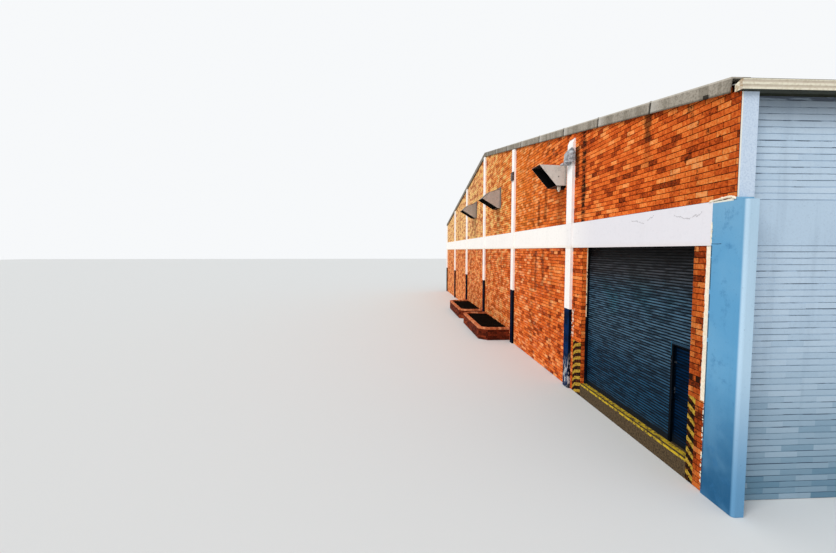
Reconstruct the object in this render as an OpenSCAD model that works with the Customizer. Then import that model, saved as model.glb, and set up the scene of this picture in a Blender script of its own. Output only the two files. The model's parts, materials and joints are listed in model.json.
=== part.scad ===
// Brick factory shed with a low gable front, six bays wide.
// X runs along the front and the roller-door corner is at +X. Y runs into the
// building from the front brick face. Z is up from the level base.

/* [Plan] */
// Distance between the middles of two pilasters
bay = 5000; // [4800:10:5200]
// Bays along each side wall
side_bays = 4; // [3:1:6]
// Brick wall thickness
wall_t = 230; // [220:1:240]
// How far each side wall stands inside the end of the outer bay
corner_set = 150; // [120:5:180]

/* [Heights] */
// Underside of the concrete tie beam
beam_z = 3530; // [3500:1:3560]
// Depth of the tie beam
beam_h = 600; // [560:5:640]
// Top of the verge pieces at the ridge
apex_z = 8190; // [8150:5:8250]
// Fall of the roof for each millimetre of plan
roof_fall = 0.168; // [0.16:0.001:0.175]
// Floor level inside and top of the door sill
floor_z = 300; // [280:5:320]

/* [Pilasters] */
// Width of a pilaster
pil_w = 300; // [280:5:320]
// How far a pilaster stands out of the brick
pil_out = 75; // [60:1:90]
// How far the tie beam stands out of the brick
beam_out = 30; // [20:1:40]

/* [Roller door] */
// Far side of the door opening, from the middle pilaster
door_x0 = 10680; // [10600:10:10700]
// Near side of the door opening
door_x1 = 14300; // [14250:10:14350]
// Height of one lath of the curtain
lath = 76; // [70:1:90]
// How far the curtain stands behind the brick face
curtain_y = 150; // [140:1:160]

/* [Wicket door] */
// Outside width of the wicket frame
wicket_w = 602; // [580:2:640]
// Laths beside the wicket, which set its height
wicket_laths = 21; // [20:1:23]
// Gap round the wicket leaf
leaf_gap = 7; // [6:0.5:9]

/* [Roof sheeting] */
// Distance between two ribs
rib_pitch = 343; // [300:1:400]
// Height of a rib
rib_h = 37; // [30:1:45]
// Length of one verge piece
verge_len = 1850; // [1700:10:1950]

/* [Hidden] */

eps = 1;
half_w = 3 * bay - corner_set;
inner_w = half_w - wall_t;
depth = side_bays * bay;
wall_top_z = beam_z + beam_h;
pitch_a = atan(roof_fall);
sheet_drop = 100;
sheet_t = 8;
sheet_end = 14975;
gutter_x0 = 14945;
gutter_x1 = 15070;
gutter_z0 = 5475;
gutter_z1 = 5610;
eaves_z = gutter_z0 - 5;

brick = "chocolate";
paint_white = "white";
paint_blue = "steelblue";
pale_blue = "lightblue";
door_blue = "midnightblue";
sheet_grey = "darkgray";

function roof_z(x) = apex_z - roof_fall * abs(x);
function under_z(x) = roof_z(x) - sheet_drop;

// Local X runs down the near slope from the ridge, local Z is square to the slope.
module on_slope(far = false) {
    mirror([far ? 1 : 0, 0, 0])
        translate([0, 0, apex_z])
            rotate([0, pitch_a, 0])
                children();
}

// Upright outline in X and Z, pulled along Y from y0 to y1.
module upright(y0, y1) {
    translate([0, y1, 0])
        rotate([90, 0, 0])
            linear_extrude(y1 - y0)
                children();
}

// Outline in Y and Z, pulled along X from x0 to x1.
module along_x(x0, x1) {
    translate([x0, 0, 0])
        rotate([90, 0, 90])
            linear_extrude(x1 - x0)
                children();
}

module block(x0, x1, y0, y1, z0, z1) {
    translate([x0, y0, z0]) cube([x1 - x0, y1 - y0, z1 - z0]);
}

function reversed(list) = [for (i = [len(list) - 1 : -1 : 0]) list[i]];

// Front walls
module front_wall() {
    color(brick) block(-half_w, door_x0, 0, wall_t, 0, beam_z);
}

pier_x0 = 14640;
module door_jamb_near() {
    color(brick) block(door_x1, pier_x0, 0, wall_t, 0, beam_z);
}

// The beam is cut back over the door so that the curtain can pass behind it.
rebate_y = 140;
rebate_past = 60;
module front_tie_beam() {
    color(paint_white)
        difference() {
            block(-half_w, pier_x0, -beam_out, wall_t, beam_z, wall_top_z);
            block(door_x0 - rebate_past, door_x1 + rebate_past, rebate_y, wall_t + eps,
                  beam_z - eps, wall_top_z + eps);
        }
}

module gable_outline() {
    polygon([
        [-half_w, wall_top_z], [half_w, wall_top_z],
        [half_w, under_z(half_w)], [0, under_z(0)], [-half_w, under_z(half_w)]
    ]);
}

// A vent through the wall behind each hood: middle, half width, bottom and top
vents = [[9300, 240, 5190, 5560], [2590, 330, 5300, 5900], [-2540, 330, 5300, 5900]];
module front_gable() {
    color(brick)
        difference() {
            upright(0, wall_t) gable_outline();
            for (v = vents)
                block(v[0] - v[1], v[0] + v[1], -eps, wall_t + eps, v[2], v[3]);
        }
}

// Pilasters reach the verge pieces and are notched over the tie beam.
verge_deep = 195;
verge_gap = 12;
module tall_pilaster(x) {
    color(paint_white)
        difference() {
            upright(-pil_out, 0)
                polygon([
                    [x - pil_w / 2, 0], [x + pil_w / 2, 0],
                    [x + pil_w / 2, pil_top(x + pil_w / 2)], [x, pil_top(x)],
                    [x - pil_w / 2, pil_top(x - pil_w / 2)]
                ]);
            block(x - pil_w, x + pil_w, -beam_out, eps, beam_z, wall_top_z);
        }
}
function pil_top(x) = roof_z(x) - verge_deep / cos(pitch_a) - verge_gap;

// The pilaster beside the roller door stops short, with a weathered slope on its head.
short_top = 6190;
slope_h = 110;
slope_in = 50;
module pilaster_a() {
    x = 2 * bay;
    color(paint_white)
        difference() {
            along_x(x - pil_w / 2, x + pil_w / 2)
                polygon([
                    [0, 0], [-pil_out, 0], [-pil_out, short_top - slope_h],
                    [slope_in - pil_out, short_top], [0, short_top]
                ]);
            block(x - pil_w, x + pil_w, -beam_out, eps, beam_z, wall_top_z);
        }
}
module pilaster_b() { tall_pilaster(bay); }
module pilaster_c() { tall_pilaster(0); }
module pilaster_d() { tall_pilaster(-bay); }
module pilaster_e() { tall_pilaster(-2 * bay); }
module pilaster_f() { tall_pilaster(-half_w + pil_w / 2); }

// Blue corner pier with a rounded outer arris and a weathered mortar top.
pier_x1 = 15205;
pier_top = 4105;
pier_out = 30;
pier_back = 125;
arris = 45;
crown_h = 45;
crown_in = 30;
crown_step = 20;
crown_back = 10;
module pier_plan() {
    translate([pier_x0, -pier_out]) square([pier_x1 - arris - pier_x0, pier_back + pier_out]);
    translate([pier_x0, arris - pier_out]) square([pier_x1 - pier_x0, pier_back + pier_out - arris]);
    translate([pier_x1 - arris, arris - pier_out]) circle(r = arris, $fn = 48);
    translate([pier_x0, 0]) square([half_w - pier_x0, wall_t]);
}
module corner_pier() {
    color(paint_blue) {
        linear_extrude(pier_top) pier_plan();
        block(half_w, corner_x1, 0, wall_t - eps, 0, pier_top + crown_h);
        upright(crown_back - pier_out, pier_back)
            polygon([
                [pier_x0, pier_top], [pier_x1 - crown_in, pier_top],
                [corner_x1 + crown_step, pier_top + crown_h], [half_w, wall_top_z], [pier_x0, wall_top_z]
            ]);
    }
}

// Upper corner: the brick turns the corner and its end is painted pale blue.
corner_x1 = 15005;
module corner_return() {
    color(pale_blue)
        block(half_w, corner_x1, 0, wall_t, pier_top + crown_h + eps, eaves_z);
}

// Side walls stand between the front and rear walls, above and below the beam.
module side_wall(far = false) {
    mirror([far ? 1 : 0, 0, 0]) {
        block(inner_w, half_w, wall_t, depth - wall_t, 0, beam_z);
        upright(wall_t, depth - wall_t)
            polygon([
                [inner_w, wall_top_z], [half_w, wall_top_z],
                [half_w, under_z(half_w)], [inner_w, under_z(inner_w)]
            ]);
    }
}
module side_wall_near() { color(pale_blue) side_wall(); }
module side_wall_far() { color(brick) side_wall(true); }

// The rear wall is two masses, below and above its beam.
module rear_wall() {
    color(brick) {
        block(-half_w, half_w, depth - wall_t, depth, 0, beam_z);
        upright(depth - wall_t, depth) gable_outline();
    }
}

module side_beam(far = false) {
    mirror([far ? 1 : 0, 0, 0])
        block(inner_w, half_w + beam_out / 2, wall_t, depth - wall_t, beam_z, wall_top_z);
}
module side_tie_beam_near() { color(pale_blue) side_beam(); }
module side_tie_beam_far() { color(paint_white) side_beam(true); }
module rear_tie_beam() {
    color(paint_white)
        block(-half_w, half_w, depth - wall_t, depth + beam_out, beam_z, wall_top_z);
}

module side_pilasters(far = false) {
    mirror([far ? 1 : 0, 0, 0])
        for (i = [1 : side_bays])
            difference() {
                y = min(i * bay, depth - pil_w / 2);
                block(half_w, half_w + pil_out, y - pil_w / 2, y + pil_w / 2, 0, eaves_z);
                block(half_w - eps, half_w + beam_out / 2, y - pil_w, y + pil_w, beam_z, wall_top_z);
            }
}
module side_pilasters_near() { color(pale_blue) side_pilasters(); }
module side_pilasters_far() { color(paint_white) side_pilasters(true); }

module rear_pilasters() {
    color(paint_white)
        translate([0, depth, 0])
            for (i = [-3 : 3]) {
                x = max(-half_w + pil_w / 2, min(half_w - pil_w / 2, i * bay));
                mirror([0, 1, 0]) tall_pilaster(x);
            }
}

// Floor and sill
module floor_slab() {
    color("gray") block(-inner_w, inner_w, wall_t, depth - wall_t, 0, floor_z);
}
module door_sill() {
    color("gold") block(door_x0, door_x1, 0, wall_t, 0, floor_z);
}

// Steel frames that carry the roof
frame_d = 300;
frame_w = 150;
flange = 16;
plate_past = 15;
plate_h = 20;
purlin_d = 140;
purlin_n = -sheet_drop * cos(pitch_a);
rafter_n = purlin_n - purlin_d;

module i_outline(d, w) {
    translate([-w / 2, 0]) square([w, flange]);
    translate([-w / 2, d - flange]) square([w, flange]);
    translate([-flange / 2, 0]) square([flange, d]);
}

module frame_columns() {
    color(sheet_grey)
        for (side = [0, 1], i = [1 : side_bays - 1])
            mirror([side, 0, 0]) {
                difference() {
                    translate([inner_w, i * bay, floor_z])
                        linear_extrude(roof_z(inner_w) - floor_z)
                            rotate(90) i_outline(frame_d, frame_w);
                    on_slope() block(0, 4 * bay, 0, depth, rafter_n - frame_d, bay);
                }
                block(inner_w - frame_d - plate_past, inner_w,
                      i * bay - frame_w / 2 - plate_past, i * bay + frame_w / 2 + plate_past,
                      floor_z, floor_z + plate_h);
            }
}

// Near and far rafters butt at the ridge with a thin gap between them.
module rafters(far = false) {
    lead = 500;
    for (i = [1 : side_bays - 1])
        intersection() {
            on_slope(far)
                translate([-lead, i * bay, rafter_n - frame_d])
                    rotate([90, 0, 90])
                        linear_extrude(4 * bay)
                            i_outline(frame_d, frame_w);
            mirror([far ? 1 : 0, 0, 0]) block(eps, inner_w, 0, depth, 0, apex_z);
        }
}
module frame_rafters() {
    color(sheet_grey)
        for (far = [false, true]) rafters(far);
}

// Purlins are channels that run over the rafters from wall to wall.
purlin_count = 9;
purlin_w = 60;
purlin_t = 5;
purlin_pitch = 1750;
first_purlin = 150;
module purlins() {
    color(sheet_grey)
        for (side = [false, true], i = [0 : purlin_count - 1]) {
            x = first_purlin + i * purlin_pitch;
            on_slope(side)
                upright(wall_t + eps, depth - wall_t - eps)
                    polygon([
                        [x, rafter_n], [x + purlin_w, rafter_n], [x + purlin_w, rafter_n + purlin_t],
                        [x + purlin_t, rafter_n + purlin_t], [x + purlin_t, purlin_n - purlin_t],
                        [x + purlin_w, purlin_n - purlin_t], [x + purlin_w, purlin_n], [x, purlin_n]
                    ]);
        }
}

// Ribbed roof sheets
function rib_points(n, lift) = [
    for (i = [0 : n - 1], p = [[0, 0], [0.55, 0], [0.66, 1], [0.89, 1]])
        [(i + p[0]) * rib_pitch, p[1] * rib_h + lift]
];
sheet_over = 30;
ridge_gap = 25;
rib_count = ceil((depth + 2 * sheet_over) / rib_pitch);

module roof_sheet(far = false) {
    length = sheet_end / cos(pitch_a);
    top = rib_points(rib_count, sheet_t);
    back = reversed(rib_points(rib_count, 0));
    intersection() {
        on_slope(far)
            translate([ridge_gap, -sheet_over, purlin_n])
                rotate([90, 0, 90])
                    linear_extrude(length - ridge_gap)
                        polygon(concat(top, back));
        block(-sheet_end, sheet_end, -sheet_over, depth + sheet_over, 0, apex_z);
    }
}
module roof_sheet_near() { color(sheet_grey) roof_sheet(); }
module roof_sheet_far() { color(sheet_grey) roof_sheet(true); }

cap_n = purlin_n + rib_h + sheet_t;
cap_reach = 260;
cap_end = 210;
cap_t = 10;
roll_w = 50;
roll_rise = 34;
module ridge_cap() {
    z0 = apex_z + cap_n / cos(pitch_a) + eps;
    low = z0 - cap_reach * roof_fall;
    color(sheet_grey)
        upright(cap_end, depth - cap_end)
            polygon([
                [0, z0], [cap_reach, low], [cap_reach, low + cap_t],
                [roll_w, z0 + cap_t], [0, z0 + roll_rise], [-roll_w, z0 + cap_t],
                [-cap_reach, low + cap_t], [-cap_reach, low]
            ]);
}

// Verge pieces: an angle along the rake with a lapped collar at each joint.
verge_t = 18;
verge_y = -65;
verge_in = 195;
verge_end = 14905;
verge_first = 420;
collar = 36;
collar_out = 7;
module verge_outline(grow = 0) {
    translate([verge_y - grow, -verge_deep - grow]) square([verge_t + grow, verge_deep + 2 * grow]);
    translate([verge_y - grow, -verge_t]) square([verge_in - verge_y + grow, verge_t + grow]);
    translate([verge_in - verge_t, cap_n]) square([verge_t, -cap_n]);
}
module verge(far = false) {
    length = verge_end / cos(pitch_a);
    lead = 50;
    intersection() {
        on_slope(far) {
            translate([-lead, 0, 0]) rotate([90, 0, 90])
                linear_extrude(length + lead) verge_outline();
            for (x = [verge_first : verge_len : length - collar])
                translate([x, 0, 0]) rotate([90, 0, 90])
                    linear_extrude(collar) verge_outline(collar_out);
        }
        mirror([far ? 1 : 0, 0, 0]) block(0, 4 * bay, -bay, bay, 0, 2 * apex_z);
    }
}
module verge_front_near() { color("lightgray") verge(); }
module verge_front_far() { color("lightgray") verge(true); }
module verge_rear() {
    color("lightgray")
        translate([0, depth, 0])
            mirror([0, 1, 0]) {
                verge();
                verge(true);
            }
}

// Eaves: a board under the sheet ends, with an upstand behind the gutter
board_t = 15;
upstand_t = 22;
upstand_drop = 40;
board_end = 20;
module eaves_board(far = false) {
    mirror([far ? 1 : 0, 0, 0])
        upright(board_end, depth - board_end)
            polygon([
                [half_w, gutter_z0], [gutter_x0, gutter_z0], [gutter_x0, gutter_z1 - upstand_drop],
                [gutter_x0 - upstand_t, gutter_z1 - upstand_drop],
                [gutter_x0 - upstand_t, gutter_z0 + board_t], [half_w, gutter_z0 + board_t]
            ]);
}
module eaves_boards() {
    color("darkolivegreen")
        for (far = [false, true]) eaves_board(far);
}

// Box gutter with two shallow flutes along its front and a returned lip
gutter_t = 5;
flute = 6;
flute_z = [26, 32, 54, 60, 84, 90, 112];
lip = 14;
back_drop = 42;
function gutter_front(in) = [
    [gutter_x1 - in, gutter_z0 + in], [gutter_x1 - in, gutter_z0 + flute_z[0]],
    [gutter_x1 - flute - in, gutter_z0 + flute_z[1]], [gutter_x1 - flute - in, gutter_z0 + flute_z[2]],
    [gutter_x1 - in, gutter_z0 + flute_z[3]], [gutter_x1 - in, gutter_z0 + flute_z[4]],
    [gutter_x1 - flute - in, gutter_z0 + flute_z[5]], [gutter_x1 - flute - in, gutter_z0 + flute_z[6]]
];
gutter_lip = [
    [gutter_x1, gutter_z1 - lip], [gutter_x1, gutter_z1], [gutter_x1 - lip - flute, gutter_z1]
];
gutter_back = [[gutter_x0, gutter_z1 - back_drop], [gutter_x0, gutter_z0]];
module gutter_outline() {
    polygon(concat(
        gutter_back, gutter_front(0), gutter_lip,
        [[gutter_x1 - lip - flute, gutter_z1 - gutter_t],
         [gutter_x1 - flute - gutter_t, gutter_z1 - gutter_t]],
        reversed(gutter_front(gutter_t)),
        [[gutter_x0 + gutter_t, gutter_z0 + gutter_t], [gutter_x0 + gutter_t, gutter_z1 - back_drop]]
    ));
}
module gutter_cap() {
    polygon(concat(gutter_back, gutter_front(0), gutter_lip));
}
gutter_y0 = -50;
gutter_cap_t = 6;
module gutter(far = false) {
    mirror([far ? 1 : 0, 0, 0]) {
        upright(gutter_y0 + gutter_cap_t, depth - gutter_y0 - gutter_cap_t) gutter_outline();
        upright(gutter_y0, gutter_y0 + gutter_cap_t) gutter_cap();
        upright(depth - gutter_y0 - gutter_cap_t, depth - gutter_y0) gutter_cap();
    }
}
module gutter_near() { color("wheat") gutter(); }
module gutter_far() { color("wheat") gutter(true); }

// Box downpipes at the rear end of each gutter
pipe_w = 75;
pipe_d = 100;
pipe_y = 19350;
pipe_in = 15;
strap_h = 30;
strap_heights = [700, 2600, 4700];
module downpipes() {
    x0 = gutter_x0 + pipe_in;
    color("wheat")
        for (side = [0, 1])
            mirror([side, 0, 0]) {
                block(x0, x0 + pipe_w, pipe_y, pipe_y + pipe_d, 0, gutter_z0);
                for (z = strap_heights)
                    block(half_w, x0, pipe_y + strap_h, pipe_y + pipe_d - strap_h, z, z + strap_h);
            }
}

// Roller shutter: curved laths hooked together at round knuckles
lath_bulge = 12;
lath_skin = 4;
knuckle_r = 6;
arc_steps = 6;
guide_w = 38;
function lath_arc(z, y) = [
    for (s = [1 : arc_steps - 1])
        [y - lath_bulge * sin(180 * s / arc_steps), z + s / arc_steps * lath]
];
function knuckle(z, y, side) = [
    for (t = [-60 : 30 : 60])
        [y + side * knuckle_r * cos(t), z + knuckle_r * sin(t)]
];
function lath_side(z0, count, y, knuckle_y, side) = [
    [y, z0],
    for (i = [0 : count - 1])
        each concat(
            i > 0 ? knuckle(z0 + i * lath, knuckle_y, side) : [],
            lath_arc(z0 + i * lath, y)
        ),
    [y, z0 + count * lath]
];
module lath_outline(z0, count, y, foot = []) {
    knuckle_y = y + lath_skin / 2 + 1;
    front = lath_side(z0, count, y, knuckle_y, -1);
    rear = lath_side(z0, count, y + lath_skin, knuckle_y, 1);
    polygon(concat(front, reversed(rear), foot));
}

rail_h = 90;
rail_t = 12;
rail_foot = 8;
rail_foot_t = 6;
lean_in = 60;
lath_count = floor((wall_top_z - floor_z - rail_h - 40) / lath);
wicket_x1 = door_x1 - guide_w;
wicket_x0 = wicket_x1 - wicket_w;
curtain_in = 12;
lath_y = curtain_y + lath_bulge;
lath_z0 = floor_z + rail_h;
wicket_top = lath_z0 + wicket_laths * lath;

// Above the wicket the curtain runs the whole width, then leans back to its roll.
module shutter_curtain() {
    start = [lath_y + lath_skin, lath_z0 + lath_count * lath - 2];
    middle = [roll_y, roll_z];
    reach = roll_r + 1;
    turn = atan2(start[1] - roll_z, start[0] - roll_y) - acos(reach / norm(start - middle));
    away = [cos(turn), sin(turn)];
    color(door_blue) {
        along_x(door_x0 + curtain_in, door_x1 - curtain_in)
            lath_outline(wicket_top, lath_count - wicket_laths, lath_y);
        along_x(door_x0 + lean_in, door_x1 - lean_in)
            polygon([
                start - [lath_skin, 0], start, middle + reach * away,
                middle + (reach + lath_skin) * away
            ]);
    }
}
module shutter_lower() {
    y0 = lath_y - rail_t / 2;
    y1 = lath_y + rail_t / 2;
    color(door_blue)
        along_x(door_x0 + curtain_in, wicket_x0)
            lath_outline(lath_z0, wicket_laths, lath_y, [
                [y1, lath_z0], [y1, floor_z + rail_foot_t], [y1 + rail_foot, floor_z + rail_foot_t],
                [y1 + rail_foot, floor_z], [y0, floor_z], [y0, lath_z0]
            ]);
}

// Channel guides beside the curtain, open towards it
guide_y0 = curtain_y - 55;
guide_y1 = curtain_y + 60;
slot_y0 = curtain_y - 5;
slot_y1 = curtain_y + 28;
guide_far_w = 50;
module guide(x_out, x_in) {
    web = x_out + sign(x_in - x_out) * (curtain_in - 2);
    translate([0, 0, floor_z])
        linear_extrude(beam_z - floor_z)
            polygon([
                [x_out, guide_y0], [x_in, guide_y0], [x_in, slot_y0], [web, slot_y0],
                [web, slot_y1], [x_in, slot_y1], [x_in, guide_y1], [x_out, guide_y1]
            ]);
}
module shutter_guides() {
    color(door_blue) {
        guide(door_x0, door_x0 + guide_far_w);
        guide(door_x1, door_x1 - guide_w);
    }
}

// Curtain roll on its barrel behind the wall, carried by two end plates
roll_r = 150;
roll_room = 20;
roll_y = wall_t + roll_room + roll_r;
roll_z = wall_top_z - 60;
plate_t = 10;
module shutter_roll() {
    color(sheet_grey) {
        translate([door_x0, roll_y, roll_z]) rotate([0, 90, 0])
            cylinder(r = roll_r, h = door_x1 - door_x0, $fn = 64);
        for (x = [door_x0 - plate_t, door_x1])
            block(x, x + plate_t, wall_t, roll_y + roll_r + roll_room,
                  roll_z - roll_r - roll_room, roll_z + roll_r + roll_room);
    }
}

// Wicket frame and leaf
latch_post = 50;
hinge_post = 38;
head_h = 60;
leaf_t = 36;
leaf_foot = 14;
frame_y0 = curtain_y - 8;
leaf_y0 = curtain_y + 30;
leaf_y1 = leaf_y0 + leaf_t;
leaf_x0 = wicket_x0 + latch_post + leaf_gap;
leaf_x1 = wicket_x1 - hinge_post - leaf_gap;
leaf_z0 = floor_z + leaf_foot;
leaf_z1 = wicket_top - head_h - leaf_gap;

// Three butt hinges behind the leaf: barrels on a pin, joined to flaps on the back faces
pin_x = leaf_x1 + leaf_gap / 2;
pin_y = leaf_y1 + 7;
pin_r = 3;
pin_play = 0.05;
barrel_r = 6;
barrel_h = 25;
flap_w = 34;
flap_t = 3;
hinge_heights = [480, 1120, 1720];
module barrel(z, flap_dir) {
    translate([pin_x, pin_y, z]) cylinder(r = barrel_r, h = barrel_h, $fn = 32);
    translate([pin_x - (flap_dir < 0 ? flap_w : 0), leaf_y1, z]) cube([flap_w, flap_t, barrel_h]);
}
module wicket_frame() {
    color(door_blue) {
        block(wicket_x0, wicket_x0 + latch_post, frame_y0, leaf_y1, floor_z, wicket_top);
        block(wicket_x1 - hinge_post, wicket_x1, frame_y0, leaf_y1, floor_z, wicket_top);
        block(wicket_x0 + latch_post, wicket_x1 - hinge_post, frame_y0, leaf_y1,
              wicket_top - head_h, wicket_top);
        for (z = hinge_heights) {
            for (side = [-1, 1]) barrel(z + side * (barrel_h + eps), 1);
            translate([pin_x, pin_y, z - barrel_h]) cylinder(r = pin_r, h = 3 * barrel_h, $fn = 32);
        }
    }
}

stile = 34;
leaf_laths = floor((leaf_z1 - leaf_z0 - 2 * stile) / lath);
leaf_lath_y = leaf_y0 + 20;
module wicket_door() {
    color(door_blue) {
        difference() {
            block(leaf_x0, leaf_x1, leaf_y0, leaf_y1, leaf_z0, leaf_z1);
            block(leaf_x0 + stile, leaf_x1 - stile, leaf_y0 - eps, leaf_y1 + eps,
                  leaf_z0 + stile, leaf_z1 - stile);
        }
        along_x(leaf_x0 + stile, leaf_x1 - stile)
            lath_outline(leaf_z1 - stile - leaf_laths * lath, leaf_laths, leaf_lath_y);
        block(leaf_x0 + stile, leaf_x1 - stile, leaf_lath_y - lath_bulge, leaf_lath_y + lath_skin,
              leaf_z0 + stile - eps, leaf_z1 - stile - leaf_laths * lath);
        for (z = hinge_heights)
            difference() {
                barrel(z, -1);
                translate([pin_x, pin_y, z - eps])
                    cylinder(r = pin_r + pin_play, h = barrel_h + 2 * eps, $fn = 32);
            }
        pull_handle();
    }
}

// Pull handle on the latch stile
handle_w = 16;
handle_z = 1030;
handle_h = 150;
handle_out = 34;
handle_in = 8;
grip_t = 12;
module pull_handle() {
    x = leaf_x0 + handle_in;
    for (z = [handle_z, handle_z + handle_h - handle_w])
        block(x, x + handle_w, leaf_y0 - handle_out, leaf_y0, z, z + handle_w);
    block(x, x + handle_w, leaf_y0 - handle_out - grip_t, leaf_y0 - handle_out,
          handle_z, handle_z + handle_h);
}

// Folded sheet hoods, open at the slanting mouth. Outlines are in Y and Z, and the inner one
// runs out past the mouth so that the mouth is cut open.
hood_t = 5;
module hood_shell(x0, x1, outline, inner) {
    difference() {
        along_x(x0, x1) polygon(outline);
        along_x(x0 + hood_t, x1 - hood_t) polygon(inner);
    }
}
small_hood = [[0, 5125], [-250, 5130], [-705, 5655], [0, 5635]];
small_inner = [[eps, 5130], [-249, 5135], [-260, 5100], [-760, 5680], [-697, 5650], [eps, 5630]];
large_hood = [[0, 5215], [-150, 5235], [-790, 5625], [-500, 5880], [0, 6040]];
large_inner = [[eps, 5221], [-151, 5241], [-190, 5170], [-870, 5590],
               [-783, 5625], [-497, 5875], [eps, 6033]];
small_hood_x = [8990, 9610];
large_hood_x = [2180, 3000];
far_hood_x = [-2950, -2130];

// A drain stub under the small hood
stub_x = 9480;
stub_w = 120;
stub_out = 90;
module hood_stub(z) {
    block(stub_x - stub_w / 2, stub_x + stub_w / 2, -stub_out, 0, z - stub_out, z);
}
module hood_1() {
    color("gray") {
        hood_shell(small_hood_x[0], small_hood_x[1], small_hood, small_inner);
        hood_stub(small_hood[0][1] + hood_t / 2);
    }
}
module hood_2() { color("gray") hood_shell(large_hood_x[0], large_hood_x[1], large_hood, large_inner); }
module hood_3() { color("gray") hood_shell(far_hood_x[0], far_hood_x[1], large_hood, large_inner); }

// Wall lamps on two of the pilasters: a faceted housing over a flat arm, and a small box
lamp_w = 360;
lamp_h = 355;
lamp_d = 155;
lamp_x = 2 * bay + 95;
lamp_z = 5780;
lamp_base = 40;
arm_w = 160;
arm_t = 40;
arm_out = 210;
arm_z = 5563;
box_x0 = bay - 90;
box_x1 = bay + 150;
box_z0 = 6010;
box_z1 = 6310;
box_out = 60;
function lamp_face(w, h) = [
    [-w / 2, -h / 2], [w / 2 - h / 6, -h / 2], [w / 2, h / 6], [w / 5, h / 2], [-w / 3, h / 3]
];
module lamp_housing() {
    translate([lamp_x, -pil_out, lamp_z])
        hull() {
            rotate([90, 0, 0]) linear_extrude(lamp_base) polygon(lamp_face(lamp_w, lamp_h));
            translate([0, 0, -lamp_h / 8])
                rotate([90, 0, 0]) linear_extrude(lamp_d) polygon(lamp_face(lamp_w * 0.6, lamp_h * 0.7));
        }
}
module wall_lamps() {
    color("slategray") {
        lamp_housing();
        block(2 * bay - arm_w / 2, 2 * bay + arm_w / 2, -pil_out - arm_out, -pil_out, arm_z, arm_z + arm_t);
        block(box_x0, box_x1, -pil_out - box_out, -pil_out, box_z0, box_z1);
    }
}

// Brick planters against the front wall
planter_h = 480;
planter_out = 1150;
planter_cant = 300;
planter_t = 110;

// The plan moved in by a wall thickness keeps its cants parallel.
module planter_plan(x0, x1, in) {
    c = planter_cant - in * (2 - sqrt(2));
    polygon([
        [x0 + in, 0], [x0 + in, -planter_out + in + c], [x0 + in + c, -planter_out + in],
        [x1 - in - c, -planter_out + in], [x1 - in, -planter_out + in + c], [x1 - in, 0]
    ]);
}
module planter(x0, x1) {
    color(brick)
        difference() {
            linear_extrude(planter_h) planter_plan(x0, x1, 0);
            translate([0, 0, -eps]) linear_extrude(planter_h + 2 * eps)
                union() {
                    planter_plan(x0, x1, planter_t);
                    translate([x0 + planter_t, -eps]) square([x1 - x0 - 2 * planter_t, 2 * eps]);
                }
        }
}
planter_x0 = 400;
planter_x1 = 4550;
module planter_near() { planter(planter_x0, planter_x1); }
module planter_far() { planter(-planter_x1, -planter_x0); }

soil_z = 400;
module planter_soil() {
    color("saddlebrown")
        for (x = [planter_x0, -planter_x1])
            linear_extrude(soil_z) planter_plan(x, x + planter_x1 - planter_x0, planter_t);
}

front_wall();
door_jamb_near();
front_tie_beam();
front_gable();
pilaster_a();
pilaster_b();
pilaster_c();
pilaster_d();
pilaster_e();
pilaster_f();
corner_pier();
corner_return();
side_wall_near();
side_wall_far();
rear_wall();
side_tie_beam_near();
side_tie_beam_far();
rear_tie_beam();
side_pilasters_near();
side_pilasters_far();
rear_pilasters();
floor_slab();
door_sill();
frame_columns();
frame_rafters();
purlins();
roof_sheet_near();
roof_sheet_far();
ridge_cap();
verge_front_near();
verge_front_far();
verge_rear();
eaves_boards();
gutter_near();
gutter_far();
downpipes();
shutter_curtain();
shutter_lower();
shutter_guides();
shutter_roll();
wicket_frame();
wicket_door();
hood_1();
hood_2();
hood_3();
wall_lamps();
planter_near();
planter_far();
planter_soil();
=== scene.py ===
# %% [markdown]
# # Dressing a brick factory shed
# The building is a long single-storey shed. Its low gable front is brick between painted pilasters,
# with a white tie beam across it, a roller shutter at one corner and a painted side wall.
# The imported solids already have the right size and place, so this lesson adds what they lack:
# some twenty-five thousand bricks, the metalwork's small pieces, and a weathered finish for every surface.

# %% Load the frame
import json
import math
import random

import bmesh
import bpy
import numpy as np
from mathutils import Matrix, Vector, noise

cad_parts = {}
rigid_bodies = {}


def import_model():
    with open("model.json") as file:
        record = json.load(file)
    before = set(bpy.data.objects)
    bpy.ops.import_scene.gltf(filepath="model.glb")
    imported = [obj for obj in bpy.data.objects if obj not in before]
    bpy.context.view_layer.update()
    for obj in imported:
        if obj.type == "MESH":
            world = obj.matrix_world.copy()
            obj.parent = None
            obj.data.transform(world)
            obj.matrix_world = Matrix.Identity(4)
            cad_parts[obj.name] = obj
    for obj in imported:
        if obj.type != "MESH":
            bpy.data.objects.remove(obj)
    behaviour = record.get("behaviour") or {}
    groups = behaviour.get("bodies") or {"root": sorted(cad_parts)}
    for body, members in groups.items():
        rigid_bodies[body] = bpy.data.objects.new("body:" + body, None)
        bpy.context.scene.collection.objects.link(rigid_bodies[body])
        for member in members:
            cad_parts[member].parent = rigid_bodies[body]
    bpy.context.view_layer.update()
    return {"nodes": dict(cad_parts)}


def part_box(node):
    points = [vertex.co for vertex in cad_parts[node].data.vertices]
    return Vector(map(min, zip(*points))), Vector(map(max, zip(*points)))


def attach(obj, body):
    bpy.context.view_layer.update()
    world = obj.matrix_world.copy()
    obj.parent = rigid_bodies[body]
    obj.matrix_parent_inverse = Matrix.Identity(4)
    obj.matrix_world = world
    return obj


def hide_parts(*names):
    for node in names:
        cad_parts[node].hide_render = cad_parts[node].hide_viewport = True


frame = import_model()
nodes = frame["nodes"]

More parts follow.
